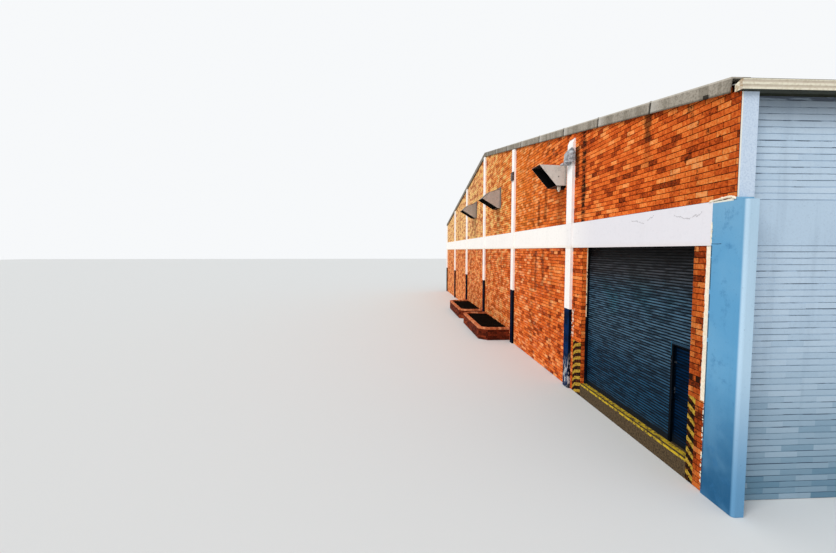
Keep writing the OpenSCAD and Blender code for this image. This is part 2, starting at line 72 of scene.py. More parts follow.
# %% [markdown]
# ## The camera
# The picture was taken from head height on a raised spot, looking along the front with a wide lens.
# A camera is placed by its eye point and by the direction it looks in, and a quaternion that tracks
# that direction is simpler than three turns that have to be applied in the right order.

# %% Camera
IMAGE_WIDTH = 836
FOCAL_PIXELS = 412.1
SENSOR = 36.0
FAR_CLIP = 500.0
EYE = Vector((20.118, -4.370, 3.465))
YAW = math.radians(3.045)
PITCH_DOWN = math.radians(3.635)

look = Vector((
    -math.cos(YAW) * math.cos(PITCH_DOWN),
    math.sin(YAW) * math.cos(PITCH_DOWN),
    -math.sin(PITCH_DOWN),
))
lens = bpy.data.cameras.new("view")
lens.sensor_width = SENSOR
lens.lens = FOCAL_PIXELS * SENSOR / IMAGE_WIDTH
lens.clip_end = FAR_CLIP
camera = bpy.data.objects.new("view", lens)
camera.location = EYE
camera.rotation_mode = "QUATERNION"
camera.rotation_quaternion = look.to_track_quat("-Z", "Y")
bpy.context.scene.collection.objects.link(camera)
bpy.context.scene.camera = camera
print("lens", round(lens.lens, 2), "mm")

# %% [markdown]
# ## Arithmetic on sockets
# A weathered finish is mostly arithmetic: a mask times a noise, added to a height. Written as calls
# that add one node each, it is unreadable. A small class that wraps an output socket and overloads
# the operators lets a mask be written as it would be on paper.

# %% Sockets that take part in expressions
class Wire:
    """An output socket. Arithmetic and comparisons on it add Math nodes."""

    def __init__(self, finish, socket):
        self.finish = finish
        self.socket = socket

    def math(self, operation, *values):
        return self.finish.node("ShaderNodeMath", {"operation": operation}, dict(enumerate(values)))

    def __add__(self, other):
        return self.math("ADD", self, other)

    def __sub__(self, other):
        return self.math("SUBTRACT", self, other)

    def __rsub__(self, other):
        return self.math("SUBTRACT", other, self)

    def __mul__(self, other):
        return self.math("MULTIPLY", self, other)

    def __truediv__(self, other):
        return self.math("DIVIDE", self, other)

    def __gt__(self, other):
        return self.math("GREATER_THAN", self, other)

    def __lt__(self, other):
        return self.math("LESS_THAN", self, other)

    def __abs__(self):
        return self.math("ABSOLUTE", self)

    __radd__ = __add__
    __rmul__ = __mul__

    def within(self, low, high):
        """1 between low and high, and 0 outside."""
        return (self > low) * (self < high)


class Finish:
    """A material under construction, with one method for any node."""

    def __init__(self, name):
        self.material = bpy.data.materials.new(name)
        self.material.use_nodes = True
        self.tree = self.material.node_tree
        self.shader = self.tree.nodes["Principled BSDF"]
        self.place = self.node("ShaderNodeTexCoord", out="Object")
        split = self.node("ShaderNodeSeparateXYZ", sockets={0: self.place}).socket.node
        self.x, self.y, self.z = (Wire(self, socket) for socket in split.outputs)

    def node(self, kind, settings=None, sockets=None, out=0):
        """Any node: its settings are made first, then its sockets get values or links."""
        made = self.tree.nodes.new(kind)
        for name, value in (settings or {}).items():
            if name == "stops":
                self.set_stops(made.color_ramp, value)
            else:
                setattr(made, name, value)
        for name, value in (sockets or {}).items():
            self.feed(made.inputs[name], value)
        return Wire(self, made.outputs[out])

    def feed(self, socket, value):
        if isinstance(value, Wire):
            self.tree.links.new(value.socket, socket)
        else:
            socket.default_value = value

    @staticmethod
    def set_stops(ramp, stops):
        while len(ramp.elements) < len(stops):
            ramp.elements.new(1.0)
        for element, (position, tint) in zip(ramp.elements, stops):
            element.position = position
            element.color = tint

    def grain(self, scale, detail=2.0, rough=0.5, stretch=None):
        """Noise from 0 to 1 with features about 1 / scale metres wide."""
        place = self.place
        if stretch:
            place = self.node("ShaderNodeMapping", sockets={"Vector": place, "Scale": stretch})
        values = {"Vector": place, "Scale": scale, "Detail": detail, "Roughness": rough}
        return self.node("ShaderNodeTexNoise", sockets=values)

    def ramp(self, value, stops):
        """A colour picked from stops by a value from 0 to 1."""
        return self.node("ShaderNodeValToRGB", {"stops": stops}, {0: value}, "Color")

    def between(self, value, low, high):
        """A smooth step from 0 at low to 1 at high."""
        values = {"Value": value, "From Min": low, "From Max": high}
        return self.node("ShaderNodeMapRange", {"interpolation_type": "SMOOTHSTEP"}, values)

    def fraction(self, value):
        """What a value has past its last whole number, for a pattern that repeats."""
        return self.node("ShaderNodeMath", {"operation": "FRACT"}, {0: value})

    def mix(self, first, second, factor):
        """The first colour where the factor is 0, and the second where it is 1."""
        settings = {"data_type": "RGBA", "clamp_factor": True}
        return self.node("ShaderNodeMix", settings, {0: factor, 6: first, 7: second}, 2)

    def bump(self, height, distance):
        """Relief from a height of 0 to 1, as deep as the distance in metres."""
        values = {"Height": height, "Distance": distance, "Strength": 1.0}
        self.feed(self.shader.inputs["Normal"], self.node("ShaderNodeBump", sockets=values))

    def done(self, base, rough, metal=0.0, specular=0.15):
        """The finished material."""
        self.feed(self.shader.inputs["Base Color"], base)
        self.feed(self.shader.inputs["Roughness"], rough)
        self.feed(self.shader.inputs["Metallic"], metal)
        self.shader.inputs["Specular IOR Level"].default_value = specular
        return self.material


def colour(red, green, blue):
    """A screen colour from 0 to 255 as the linear light that a shader takes."""
    def linear(value):
        share = value / 255
        return share / 12.92 if share <= 0.04045 else ((share + 0.055) / 1.055) ** 2.4
    return (linear(red), linear(green), linear(blue), 1.0)


print("helpers ready")

# %% [markdown]
# ## Weathered paint
# Masonry paint on this building is never one colour. It holds soft patches, fine grain, and streaks
# where rain runs down from ledges. The streaks are the same noise as the patches, squeezed along X
# and Y and drawn out along Z. One function adds all three over any base colour.

# %% Weather over a base colour
GRIME = colour(95, 82, 66)


def weathered(finish, base, patches=0.12, streaks=0.2, darkening=GRIME):
    """Patches and rain streaks of dirt over a base colour."""
    patch = finish.between(finish.grain(0.7, 4.0), 0.45, 0.75)
    runs = finish.grain(1.0, 4.0, 0.6, (3.5, 3.5, 0.22))
    streak = finish.between(runs, 0.5, 0.72)
    return finish.mix(base, darkening, patch * patches + streak * streaks)


def flat_paint(name, tint, darker, rough=0.6, patches=0.12, streaks=0.15, metal=0.0):
    """Paint of one tint with a darker grain, weathered."""
    finish = Finish(name)
    fine = finish.grain(35, 5.0, 0.6)
    base = finish.mix(darker, tint, finish.between(fine, 0.25, 0.6))
    base = weathered(finish, base, patches, streaks)
    finish.bump(fine, 0.0015)
    return finish.done(base, finish.grain(9, 3.0) * 0.25 + (rough - 0.12), metal)


print("weathered paint ready")

# %% [markdown]
# ## Hazard bands
# The two brick jambs of the roller door carry hand-painted yellow and black bands. The paint covers
# bricks and joints alike, so both finishes call the same function. A band is the height plus a lean
# along X, taken modulo the pitch of one yellow and one black stroke.

# %% Hazard bands
FAR_FROM, FAR_TO, FAR_TOP = 10.27, 10.70, 1.27
FAR_PITCH = 0.161
FAR_YELLOW = 0.47
BEND_X = 10.40
LEAN_LEFT = 0.77
LEAN_RIGHT = 0.28
NEAR_FROM, NEAR_TO, NEAR_TOP = 14.28, 14.445, 1.31
NEAR_PITCH = 0.168
NEAR_YELLOW = 0.45
NEAR_START = 1.14
LEAN_NEAR = -0.56
FACE_ONLY = 0.004
INTO_REVEAL = 0.12
CHIPPED_FROM, CHIPPED_TO, CHIPPED_TOP = 14.592, 14.65, 1.32


def black_strokes(finish, height, pitch, yellow):
    """1 where the black paint is, on bands of one pitch along a leaning height."""
    return finish.fraction(height / pitch) > yellow


def hazard_bands(finish, base):
    """Both jambs' bands, and the pale mortar where a thin strip beside the pier has broken away."""
    x, y, z = finish.x, finish.y, finish.z
    wobble = finish.grain(6, 2.0) * 0.012
    far = x.within(FAR_FROM, FAR_TO) * (z < FAR_TOP) * (y < FACE_ONLY)
    past = x - BEND_X
    lean = past * (past < 0.0) * LEAN_LEFT + past * (past > 0.0) * LEAN_RIGHT
    black_far = black_strokes(finish, z - lean + wobble, FAR_PITCH, FAR_YELLOW)
    near = x.within(NEAR_FROM, NEAR_TO) * (z < NEAR_TOP) * (y < INTO_REVEAL)
    lean = (x - NEAR_FROM) * LEAN_NEAR
    height = z - lean + wobble + (10 * NEAR_PITCH - NEAR_START)
    black_near = black_strokes(finish, height, NEAR_PITCH, NEAR_YELLOW)
    worn = finish.between(finish.grain(24, 4.0), 0.3, 0.55)
    yellow = finish.mix(colour(98, 68, 20), colour(188, 154, 56), worn)
    black = finish.mix(colour(8, 5, 3), colour(22, 15, 10), worn)
    painted = finish.mix(base, finish.mix(yellow, black, black_far), far * (0.8 + worn * 0.2))
    painted = finish.mix(painted, finish.mix(yellow, black, black_near), near * (0.85 + worn * 0.15))
    ragged = (finish.grain(14, 5.0) - 0.5) * 0.035
    thin = (x + ragged > CHIPPED_FROM) * (x < CHIPPED_TO) * (z < CHIPPED_TOP)
    broken = thin * (finish.grain(16, 4.0) > 0.5)
    return finish.mix(painted, colour(250, 240, 216), broken * (y < 0.01) * 0.95)


print("hazard bands ready")

# %% [markdown]
# ## Brick and mortar
# Each brick keeps a number of its own, its tone, which the mesh stores at its corners. A ramp turns the
# tone into a fired colour, from the dark ends of the kiln to pale orange, and a broad noise moves
# whole areas of wall towards one end or the other. Soot runs down from the verge and the hoods.

# %% Kiln colours
KILN = [
    (0.0, colour(84, 30, 8)),
    (0.2, colour(150, 56, 14)),
    (0.42, colour(208, 86, 28)),
    (0.64, colour(236, 112, 42)),
    (0.84, colour(250, 142, 66)),
    (1.0, colour(255, 166, 98)),
]
DARK_KILN = [
    (0.0, colour(44, 14, 6)),
    (0.4, colour(78, 26, 12)),
    (0.75, colour(118, 44, 22)),
    (1.0, colour(160, 72, 40)),
]
COPING_KILN = [
    (0.0, colour(130, 60, 34)),
    (0.5, colour(196, 106, 64)),
    (1.0, colour(236, 160, 112)),
]
# Dark brown for soot, and also for the painted shadows beside the front's pilasters.
SOOT_AND_SHADOW = colour(40, 18, 7)
BLEACHED = colour(252, 190, 128)
SUNNY = colour(255, 204, 140)
WARM = colour(255, 168, 84)
print("kilns", len(KILN) + len(DARK_KILN) + len(COPING_KILN), "stops")

# %% [markdown]
# ### Soot on the front
# Rain washes soot down the wall from the joints of the verge and from the hoods. Every run is a soft
# line at one X, between two heights, with ragged sides. A table of runs is easier to correct against a
# picture than a chain of calls, so all but the dashed one beside a pilaster are rows of it.

# %% Soot runs
# Middle, half width, bottom, top, strength
SOOT_RUNS = [
    (13.05, 0.14, 5.35, 6.0, 0.75),
    (13.05, 0.16, 4.9, 5.35, 0.3),
    (10.28, 0.16, 5.2, 5.95, 0.8),
    (7.44, 0.15, 2.2, 3.45, 0.5),
    (8.06, 0.15, 2.4, 3.5, 0.5),
    (7.63, 0.15, 4.2, 4.95, 0.5),
    (8.2, 0.15, 4.3, 5.2, 0.5),
    (9.3, 0.4, 4.13, 5.2, 0.35),
    (2.6, 0.5, 4.13, 5.25, 0.3),
    (-2.54, 0.5, 4.13, 5.25, 0.3),
]


def soot_line(finish, middle, half, low, high):
    """A run of soot down the front wall with ragged sides."""
    away = abs(finish.x - middle)
    ragged = (finish.grain(5, 4.0) - 0.5) * 0.25
    return finish.between(away + ragged, half, half * 0.3) * finish.z.within(low, high)


def front_soot(finish):
    """All runs of soot; the one beside the short pilaster is broken into dashes."""
    dashes = finish.between(finish.grain(1.0, 4.0, 0.6, (2.0, 2.0, 16.0)), 0.36, 0.6) * 0.75 + 0.25
    runs = soot_line(finish, 10.63, 0.15, 4.13, 6.3) * dashes
    for middle, half, low, high, strength in SOOT_RUNS:
        runs = runs + soot_line(finish, middle, half, low, high) * strength
    return runs


print("soot runs", len(SOOT_RUNS) + 1)

# %% [markdown]
# ### The front's tints, dirt and painted shadows
# The picture sees the front almost edge on, so its far bays crowd many bricks into few pixels. One
# tint for the whole wall looks flat there. The farther bays are therefore paler, with dark and pale
# batches, stronger ends of the kiln and small specks that grow with distance from the roller door.
# The bricks above the tie beam are sunnier, and those below it a deeper orange.

# %% Front tints and dirt
BAY = 5.0
UPPER_FROM = 4.1
LOWER_TO = 3.6
BEAM_FOOT = 3.53


def front_tints(finish, base, tone, batch):
    """Tints laid over the kiln's colours, each through a mask of its own."""
    x, z = finish.x, finish.z
    upper = z > UPPER_FROM
    distant = finish.between(x, 12.0, 3.0)
    beyond_b = finish.between(x, 7.0, 3.0)
    upper_b_c = finish.between(x, 11.0, 4.0) * finish.between(x, -4.0, 0.5) * upper
    specks = finish.grain(1.0, 2.0, 0.5, (1.7, 1.7, 4.6))
    tints = [
        (BLEACHED, finish.between(x, 6.0, -16.0) * 0.5),
        (colour(116, 40, 10), finish.between(batch, 0.5, 0.36) * distant * 0.8),
        (colour(255, 204, 154), finish.between(batch, 0.52, 0.64) * distant * 0.7),
        (colour(104, 34, 8), finish.between(tone, 0.34, 0.12) * distant * 0.7),
        (colour(255, 200, 146), finish.between(tone, 0.7, 0.92) * distant * 0.55),
        (WARM, finish.between(x, 9.0, 2.0) * 0.2),
        (colour(255, 138, 30), upper_b_c * 0.4),
        (colour(255, 92, 0), finish.between(x, 9.0, 4.0) * (z < LOWER_TO) * 0.24),
        (SUNNY, finish.between(x, 6.0, -8.0) * upper * 0.72),
        (colour(160, 60, 6), finish.between(specks, 0.47, 0.4) * beyond_b * 0.65),
        (colour(255, 210, 128), finish.between(specks, 0.52, 0.6) * beyond_b * (upper * 0.45 + 0.3)),
    ]
    for tint, mask in tints:
        base = finish.mix(base, tint, mask)
    return base


def front_dirt_and_shadows(finish, batch, blots):
    """Soot, the grimy jambs, painted shadows beside the pilasters, and two burnt bricks."""
    x, z = finish.x, finish.z
    upper = z > UPPER_FROM
    lower = z < BEAM_FOOT
    turn = finish.fraction(x / BAY + 10.0)
    # Painted shadow in a strip just left of each pilaster, stronger above the beam.
    beside = finish.between(turn + (batch - 0.5) * 0.06, 0.925, 0.965) * (x < 9.9)
    burnt = x.within(14.28, 14.375) + x.within(14.43, 14.52)
    darkening = front_soot(finish) + (x > 14.2) * lower * 0.32
    darkening = darkening + beside * (upper * 0.3 + 0.1)
    darkening = darkening + x.within(10.25, 10.7) * lower * blots * 0.5
    darkening = darkening + finish.between(x, 12.6, 14.9) * upper * (blots + 0.5) * 0.4
    return darkening + burnt * z.within(1.552, 1.634) * 0.9


def front_paint(finish, base):
    """Splashes of white paint beside the short pilaster, then the hazard bands."""
    splashed = finish.x.within(10.15, 10.3) * finish.z.within(1.3, 2.05)
    base = finish.mix(base, colour(252, 236, 214), splashed * (finish.grain(11, 3.0) > 0.52) * 0.8)
    return hazard_bands(finish, base)


print("front layers ready")

# %% [markdown]
# ### The finishes themselves
# A brick's tone, a broad noise and a fine one add up to a place on the kiln's ramp, which does most of
# the work. Soot comes over that, and on the front painted shadows beside the pilasters. The paint comes
# last, because it was put on over dirty brick. The mortar behind the front gets the same bands, since
# paint doesn't stop at a joint.

# %% Brick and mortar finishes
def brick_finish(name, kiln, soot, front=False):
    """Fired brick from a ramp of kiln colours, with runs and blots of soot, and on the front painted shadows
    beside the pilasters.
    """
    finish = Finish(name)
    tone = finish.node("ShaderNodeAttribute", {"attribute_name": "tone"}, out="Fac")
    broad = finish.between(finish.grain(0.5, 3.0, 0.6), 0.3, 0.7)
    fine = finish.grain(26, 6.0, 0.7)
    base = finish.ramp(tone * 0.74 + broad * 0.2 + (fine - 0.5) * 1.4 + 0.06, kiln)
    runs = finish.between(finish.grain(1.0, 4.0, 0.6, (2.6, 2.6, 0.16)), 0.52, 0.68)
    blots = finish.between(finish.grain(5.5, 4.0, 0.7), 0.56, 0.68)
    darkening = (runs * 0.5 + blots * 0.8) * soot
    if front:
        batch = finish.grain(1.0, 5.0, 0.75, (2.2, 2.2, 8.0))
        base = front_tints(finish, base, tone, batch)
        darkening = darkening + front_dirt_and_shadows(finish, batch, blots)
    # One dark colour for the soot and for the painted shadows beside the pilasters.
    base = finish.mix(base, SOOT_AND_SHADOW, darkening)
    if front:
        base = front_paint(finish, base)
    finish.bump(fine, 0.006)
    return finish.done(base, 0.86, 0.0, 0.06)


def mortar_finish(name, tint, front=False):
    """Sandy mortar; on the front the hazard bands run over it."""
    finish = Finish(name)
    sand = finish.grain(90, 4.0, 0.7)
    base = finish.mix(tint, colour(34, 16, 8), finish.between(sand, 0.35, 0.7))
    if front:
        base = hazard_bands(finish, base)
    finish.bump(sand, 0.003)
    return finish.done(base, 0.95, 0.0, 0.04)


FRONT_BRICK = brick_finish("fired_brick", KILN, 0.5, front=True)
PLAIN_BRICK = brick_finish("fired_brick_plain", KILN, 0.35)
PLANTER_BRICK = brick_finish("planter_brick", DARK_KILN, 0.5)
COPING_BRICK = brick_finish("coping_brick", COPING_KILN, 0.2)
FRONT_MORTAR = mortar_finish("sooty_mortar", colour(50, 19, 8), front=True)
PLAIN_MORTAR = mortar_finish("plain_mortar", colour(66, 28, 12))
print("brick finishes ready")

# %% [markdown]
# ## White paint, dados and hairline cracks
# The tie beam and the pilasters share one white masonry paint. Below two metres the pilasters are
# painted navy, with an uneven line where the brush stopped, and the one beside the roller door has
# a bluer coat that is scuffed to white at its foot. A crack is a level line bent by coarse noise, and
# finer noise breaks it into short lengths.

# %% White and navy masonry paint
DADO_TOP = 2.0
SCUFF_TOP = 1.0
PILASTER_A_FROM = 9.8
FRONT_TO = 1.0
SIDE_FACE = 0.0008


def cracks(finish, x_low, x_high, height, drop):
    """A ragged hairline along a beam, from x_low to x_high, sagging by drop at its middle."""
    x, z = finish.x, finish.z
    along = (x - x_low) * (1.0 / (x_high - x_low))
    sag = along * (1.0 - along) * (4.0 * drop)
    wander = (finish.grain(4, 5.0, 0.75) - 0.5) * 0.22
    away = abs(z - height + sag + wander)
    broken = finish.grain(5, 4.0) > 0.42
    return (away < 0.008) * x.within(x_low, x_high) * broken


def navy_dado(finish):
    """Navy paint with painted shade on one side face of each pilaster; the coat beside the roller door is
    bluer and scuffed.
    """
    door_coat = (finish.x > PILASTER_A_FROM) * (finish.y < FRONT_TO)
    navy = finish.mix(colour(3, 18, 42), colour(3, 38, 80), door_coat)
    # Painted shade on the side face of each dado that faces +X, along the wall.
    from_side = abs(finish.fraction((finish.x - 0.15) / BAY + 0.5) - 0.5)
    navy = finish.mix(navy, colour(5, 9, 18), (from_side < SIDE_FACE) * 0.85)
    navy = finish.mix(navy, colour(4, 8, 16), finish.between(finish.grain(3, 4.0), 0.4, 0.7) * 0.7)
    scuffed = finish.between(finish.grain(16, 5.0, 0.7, (1.0, 1.0, 0.35)), 0.5, 0.58)
    low = finish.between(finish.z, SCUFF_TOP, 0.3) * door_coat
    return finish.mix(navy, colour(196, 196, 196), scuffed * low * 0.85)


def masonry_white():
    """White paint, cream at the beam's foot, cooler near the short pilaster, and cracked at its end."""
    finish = Finish("white_masonry_paint")
    x, z = finish.x, finish.z
    fine = finish.grain(18, 5.0, 0.6)
    base = finish.mix(colour(244, 240, 234), colour(255, 250, 244), finish.between(fine, 0.25, 0.5))
    base = weathered(finish, base, 0.04, 0.07, colour(196, 186, 170))
    cream = finish.between(z, 3.62, BEAM_FOOT) * z.within(3.5, 3.64)
    base = finish.mix(base, colour(240, 214, 166), cream * 0.3)
    cool = finish.between(x, 9.0, 11.5) * z.within(3.5, 4.14)
    base = finish.mix(base, colour(214, 212, 224), cool * 0.6)
    base = finish.mix(base, colour(255, 255, 255), (x < 14.0) * (z > 4.2) * 0.5)
    lines = cracks(finish, 12.6, 13.35, 4.04, 0.09) + cracks(finish, 13.85, 14.45, 4.02, 0.07)
    base = finish.mix(base, colour(150, 144, 146), lines * (z < 4.12) * 0.5)
    brushed_to = DADO_TOP + (finish.grain(4, 3.0) - 0.5) * 0.03
    base = finish.mix(base, navy_dado(finish), z < brushed_to)
    finish.bump(fine, 0.002)
    return finish.done(base, 0.68, 0.0, 0.02)


WHITE_MASONRY = masonry_white()
print("white masonry ready")

# %% [markdown]
# ## The blue corner
# The pier is render under mid-blue paint. Its front is the deeper blue; the arris is rubbed pale, and
# the end face, which gets more weather, has bleached almost to the side wall's tint. The pale paint
# of the side wall darkens towards the ground. Height and X are enough to tell these zones apart.

# %% Blue paints
ARRIS_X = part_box("corner_pier")[1].x - 0.055
PIER_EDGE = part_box("corner_pier")[0].x
OUTSIDE_X = 14.7
FILLET_Z = 4.107
FILLET_END = 14.98
CRACK_Z = 3.553
CRACK_HALF = 0.005
PALE_HIGH = colour(188, 208, 226)
PALE_LOW = colour(90, 128, 150)


def pier_blue():
    """The pier's deep front, bleached end, rubbed arris, level crack, mortared top, and a painted shadow
    beside the mortar strip.
    """
    finish = Finish("pier_blue_paint")
    x, z = finish.x, finish.z
    fine = finish.grain(26, 5.0, 0.6)
    soft = finish.grain(1.4, 4.0)
    up = finish.between(z, 0.2, 2.2)
    front = finish.mix(colour(32, 90, 130), colour(94, 158, 200), up)
    front = finish.mix(front, colour(124, 178, 212), finish.between(soft, 0.4, 0.7) * 0.35)
    front = finish.mix(front, colour(146, 186, 208), finish.between(z, 3.3, 4.1) * 0.3)
    # Painted shadow: a broken dark line on the front along the pier's left edge, beside the mortar strip,
    # below the beam.
    behind = (x < PIER_EDGE + 0.022) * (z < BEAM_FOOT) * (finish.grain(9, 4.0) > 0.42)
    front = finish.mix(front, colour(34, 62, 80), behind * 0.8)
    end = finish.mix(colour(100, 150, 188), colour(184, 212, 232), up)
    base = finish.mix(front, end, finish.between(x, ARRIS_X, ARRIS_X + 0.04))
    base = finish.mix(base, colour(44, 90, 126), finish.between(fine, 0.62, 0.78) * 0.4)
    base = weathered(finish, base, 0.05, 0.1, colour(60, 84, 104))
    crack = abs(z - CRACK_Z + (finish.grain(5, 4.0) - 0.5) * 0.05) < CRACK_HALF
    base = finish.mix(base, colour(24, 50, 74), crack * (x < 14.82) * (finish.y < -0.02) * 0.8)
    blotch = finish.between(finish.grain(5, 5.0, 0.7), 0.52, 0.72)
    base = finish.mix(base, colour(52, 112, 158), blotch * (x < ARRIS_X) * 0.5)
    base = finish.mix(base, colour(244, 236, 216), (z > FILLET_Z) * (x < FILLET_END) * 0.92)
    finish.bump(fine, 0.003)
    return finish.done(base, 0.66)


def pale_blue(name, streaks, joint=False):
    """Pale masonry paint with painted shade under the eaves; the joint version is darker where the paint has
    not filled the bed.
    """
    finish = Finish(name)
    fine = finish.grain(40, 5.0, 0.6)
    tint = finish.mix(PALE_LOW, PALE_HIGH, finish.between(finish.z, -0.3, 3.2))
    tint = finish.mix(tint, colour(126, 142, 162), finish.between(fine, 0.5, 0.75) * 0.2)
    tone = finish.node("ShaderNodeAttribute", {"attribute_name": "tone"}, out="Fac")
    tint = finish.mix(tint, colour(214, 228, 240), tone * 0.3)
    if joint:
        open_bed = finish.between(finish.grain(1.0, 5.0, 0.65, (2.2, 2.2, 24.0)), 0.45, 0.56)
        bed = finish.between(finish.grain(1.0, 1.0, 0.5, (0.1, 0.1, 11.6)), 0.38, 0.6) * 0.55 + 0.45
        tint = finish.mix(tint, colour(56, 68, 90), open_bed * bed * (finish.x > OUTSIDE_X) * 0.9)
    # Painted shade under the eaves, darkest at the top of the wall.
    shade = finish.between(finish.z, 4.9, 5.47)
    tint = finish.mix(tint, colour(92, 98, 108), shade * 0.6)
    base = weathered(finish, tint, 0.1, streaks, colour(98, 118, 140))
    finish.bump(fine, 0.002)
    return finish.done(base, 0.6)


def return_paint():
    """The painted end of the gable brick: its front face is still bare mortar."""
    finish = Finish("return_paint")
    fine = finish.grain(40, 5.0, 0.6)
    base = finish.mix(colour(190, 206, 226), colour(208, 222, 238), finish.between(fine, 0.3, 0.6))
    base = finish.mix(base, colour(250, 244, 224), (finish.y < 0.022) * 0.8)
    base = finish.mix(base, colour(84, 38, 18), finish.y < 0.002)
    finish.bump(fine, 0.0006)
    return finish.done(base, 0.6)


PIER_BLUE = pier_blue()
PALE_WALL = pale_blue("pale_wall_paint", 0.14)
PALE_JOINT = pale_blue("pale_wall_joints", 0.14, joint=True)
RETURN_BLUE = return_paint()
print("blue paints ready")

# %% [markdown]
# ## Zinc sheet and the hoods
# Galvanised sheet shows its spangle as small Voronoi cells of slightly different grey. The hoods are
# the same sheet, stained by what they blow out and darker along their folds and at the wall. Their
# inner faces are nearly black: painted shade of the dark hollow, over some soot. Those faces belong to
# the same solid as the outer ones, so a mask finds them by place: they lie between the side plates and
# under the straight lines that the top plates draw in Y and Z.

# %% Zinc sheet and hoods
SMALL_HOOD_FROM = 5.0
SMALL_TOP = (-0.0284, 5.6325)
STEEP_TOP = (0.879, 6.316)
SHALLOW_TOP = (0.32, 6.0375)
RIM = 0.03
SIDE_PLATE = 0.003
hoods = [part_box(f"hood_{number}") for number in (1, 2, 3)]


def under(finish, top, lower=0.0):
    """1 below a top plate's line, which is a slope and a height at the wall."""
    slope, height = top
    return finish.z < finish.y * slope + (height - lower)


def hood_rim(finish):
    """1 along the folded edges of the two larger hoods: below the slope and beside the wall."""
    y = finish.y
    at_steep = (1.0 - under(finish, STEEP_TOP, RIM)) * (y < -0.35)
    at_shallow = (1.0 - under(finish, SHALLOW_TOP, RIM)) * (y > -0.42)
    at_wall = y.within(-0.055, -0.02)
    edge = at_steep + at_shallow * (1.0 - at_steep)
    edge = edge + at_wall * (1.0 - edge)
    return edge * (finish.x < SMALL_HOOD_FROM)


def inside_hood(finish):
    """1 on the inner faces, which are painted nearly black as shade: within the side plates and under the
    top plate.
    """
    inner = finish.x * 0.0
    for low, high in hoods:
        inner = inner + finish.x.within(low.x + SIDE_PLATE, high.x - SIDE_PLATE)
    large = under(finish, STEEP_TOP) * under(finish, SHALLOW_TOP)
    small_hood = finish.x > SMALL_HOOD_FROM
    return inner * (under(finish, SMALL_TOP) * small_hood + large * (1.0 - small_hood))


def zinc_sheet(name, light, dark, rust, hood=False):
    """Spangled sheet with dirt and spots of rust; a hood is also darker along its folds and at the wall, and
    its insides are nearly black painted shade over some soot.
    """
    finish = Finish(name)
    cells = finish.node("ShaderNodeTexVoronoi", sockets={"Vector": finish.place, "Scale": 45.0}, out="Color")
    spangle = finish.node("ShaderNodeSeparateColor", sockets={0: cells})
    base = finish.mix(dark, light, spangle * 0.5 + finish.grain(3, 3.0) * 0.5)
    base = weathered(finish, base, 0.25, 0.3, colour(92, 84, 76))
    if hood:
        base = finish.mix(base, colour(222, 214, 204), (finish.x > SMALL_HOOD_FROM) * 0.75 + 0.15)
        base = finish.mix(base, colour(74, 68, 62), finish.between(finish.y, -0.06, -0.02) * 0.4)
        blotchy = finish.between(finish.grain(9, 5.0, 0.75), 0.5, 0.7)
        base = finish.mix(base, colour(112, 104, 94), blotchy * 0.35)
        base = finish.mix(base, colour(58, 50, 44), hood_rim(finish) * 0.6)
    spots = finish.between(finish.grain(7, 5.0, 0.7), 0.62, 0.72)
    base = finish.mix(base, colour(120, 66, 38), spots * rust)
    if hood:
        # Painted shade: the inner faces nearly black for the dark hollow, over some soot.
        base = finish.mix(base, colour(7, 6, 6), inside_hood(finish))
    finish.bump(finish.grain(60, 3.0), 0.0008)
    return finish.done(base, finish.grain(12, 3.0) * 0.3 + 0.4, 0.1, 0.3)


HOOD_ZINC = zinc_sheet("hood_zinc", colour(196, 186, 176), colour(150, 140, 130), 0.25, hood=True)
ROOF_SHEET = zinc_sheet("roof_zinc", colour(176, 176, 172), colour(138, 138, 134), 0.25)
ROLL_STEEL = zinc_sheet("roll_steel", colour(130, 132, 136), colour(92, 94, 98), 0.2)
LOCK_STEEL = zinc_sheet("lock_steel", colour(46, 52, 62), colour(24, 28, 34), 0.1)
print("zinc finishes ready")

# %% [markdown]
# ## Shutter and wicket paint
# The shutter's coating is nearly black, and the crowns of its laths get a painted highlight. A crown is
# what stands farthest forward, so the mask is a narrow range of Y, which costs nothing and follows
# every lath. The head of the curtain is dusty, and right under the beam it gets painted shade.

# %% Shutter and wicket paint
CROWN_DEPTH = 0.005
GUIDE_EDGE_Y = 0.097
FAR_GUIDE_TO = 11.0
WICKET_HEAD_EDGE = 0.042
POST_EDGE = 0.014


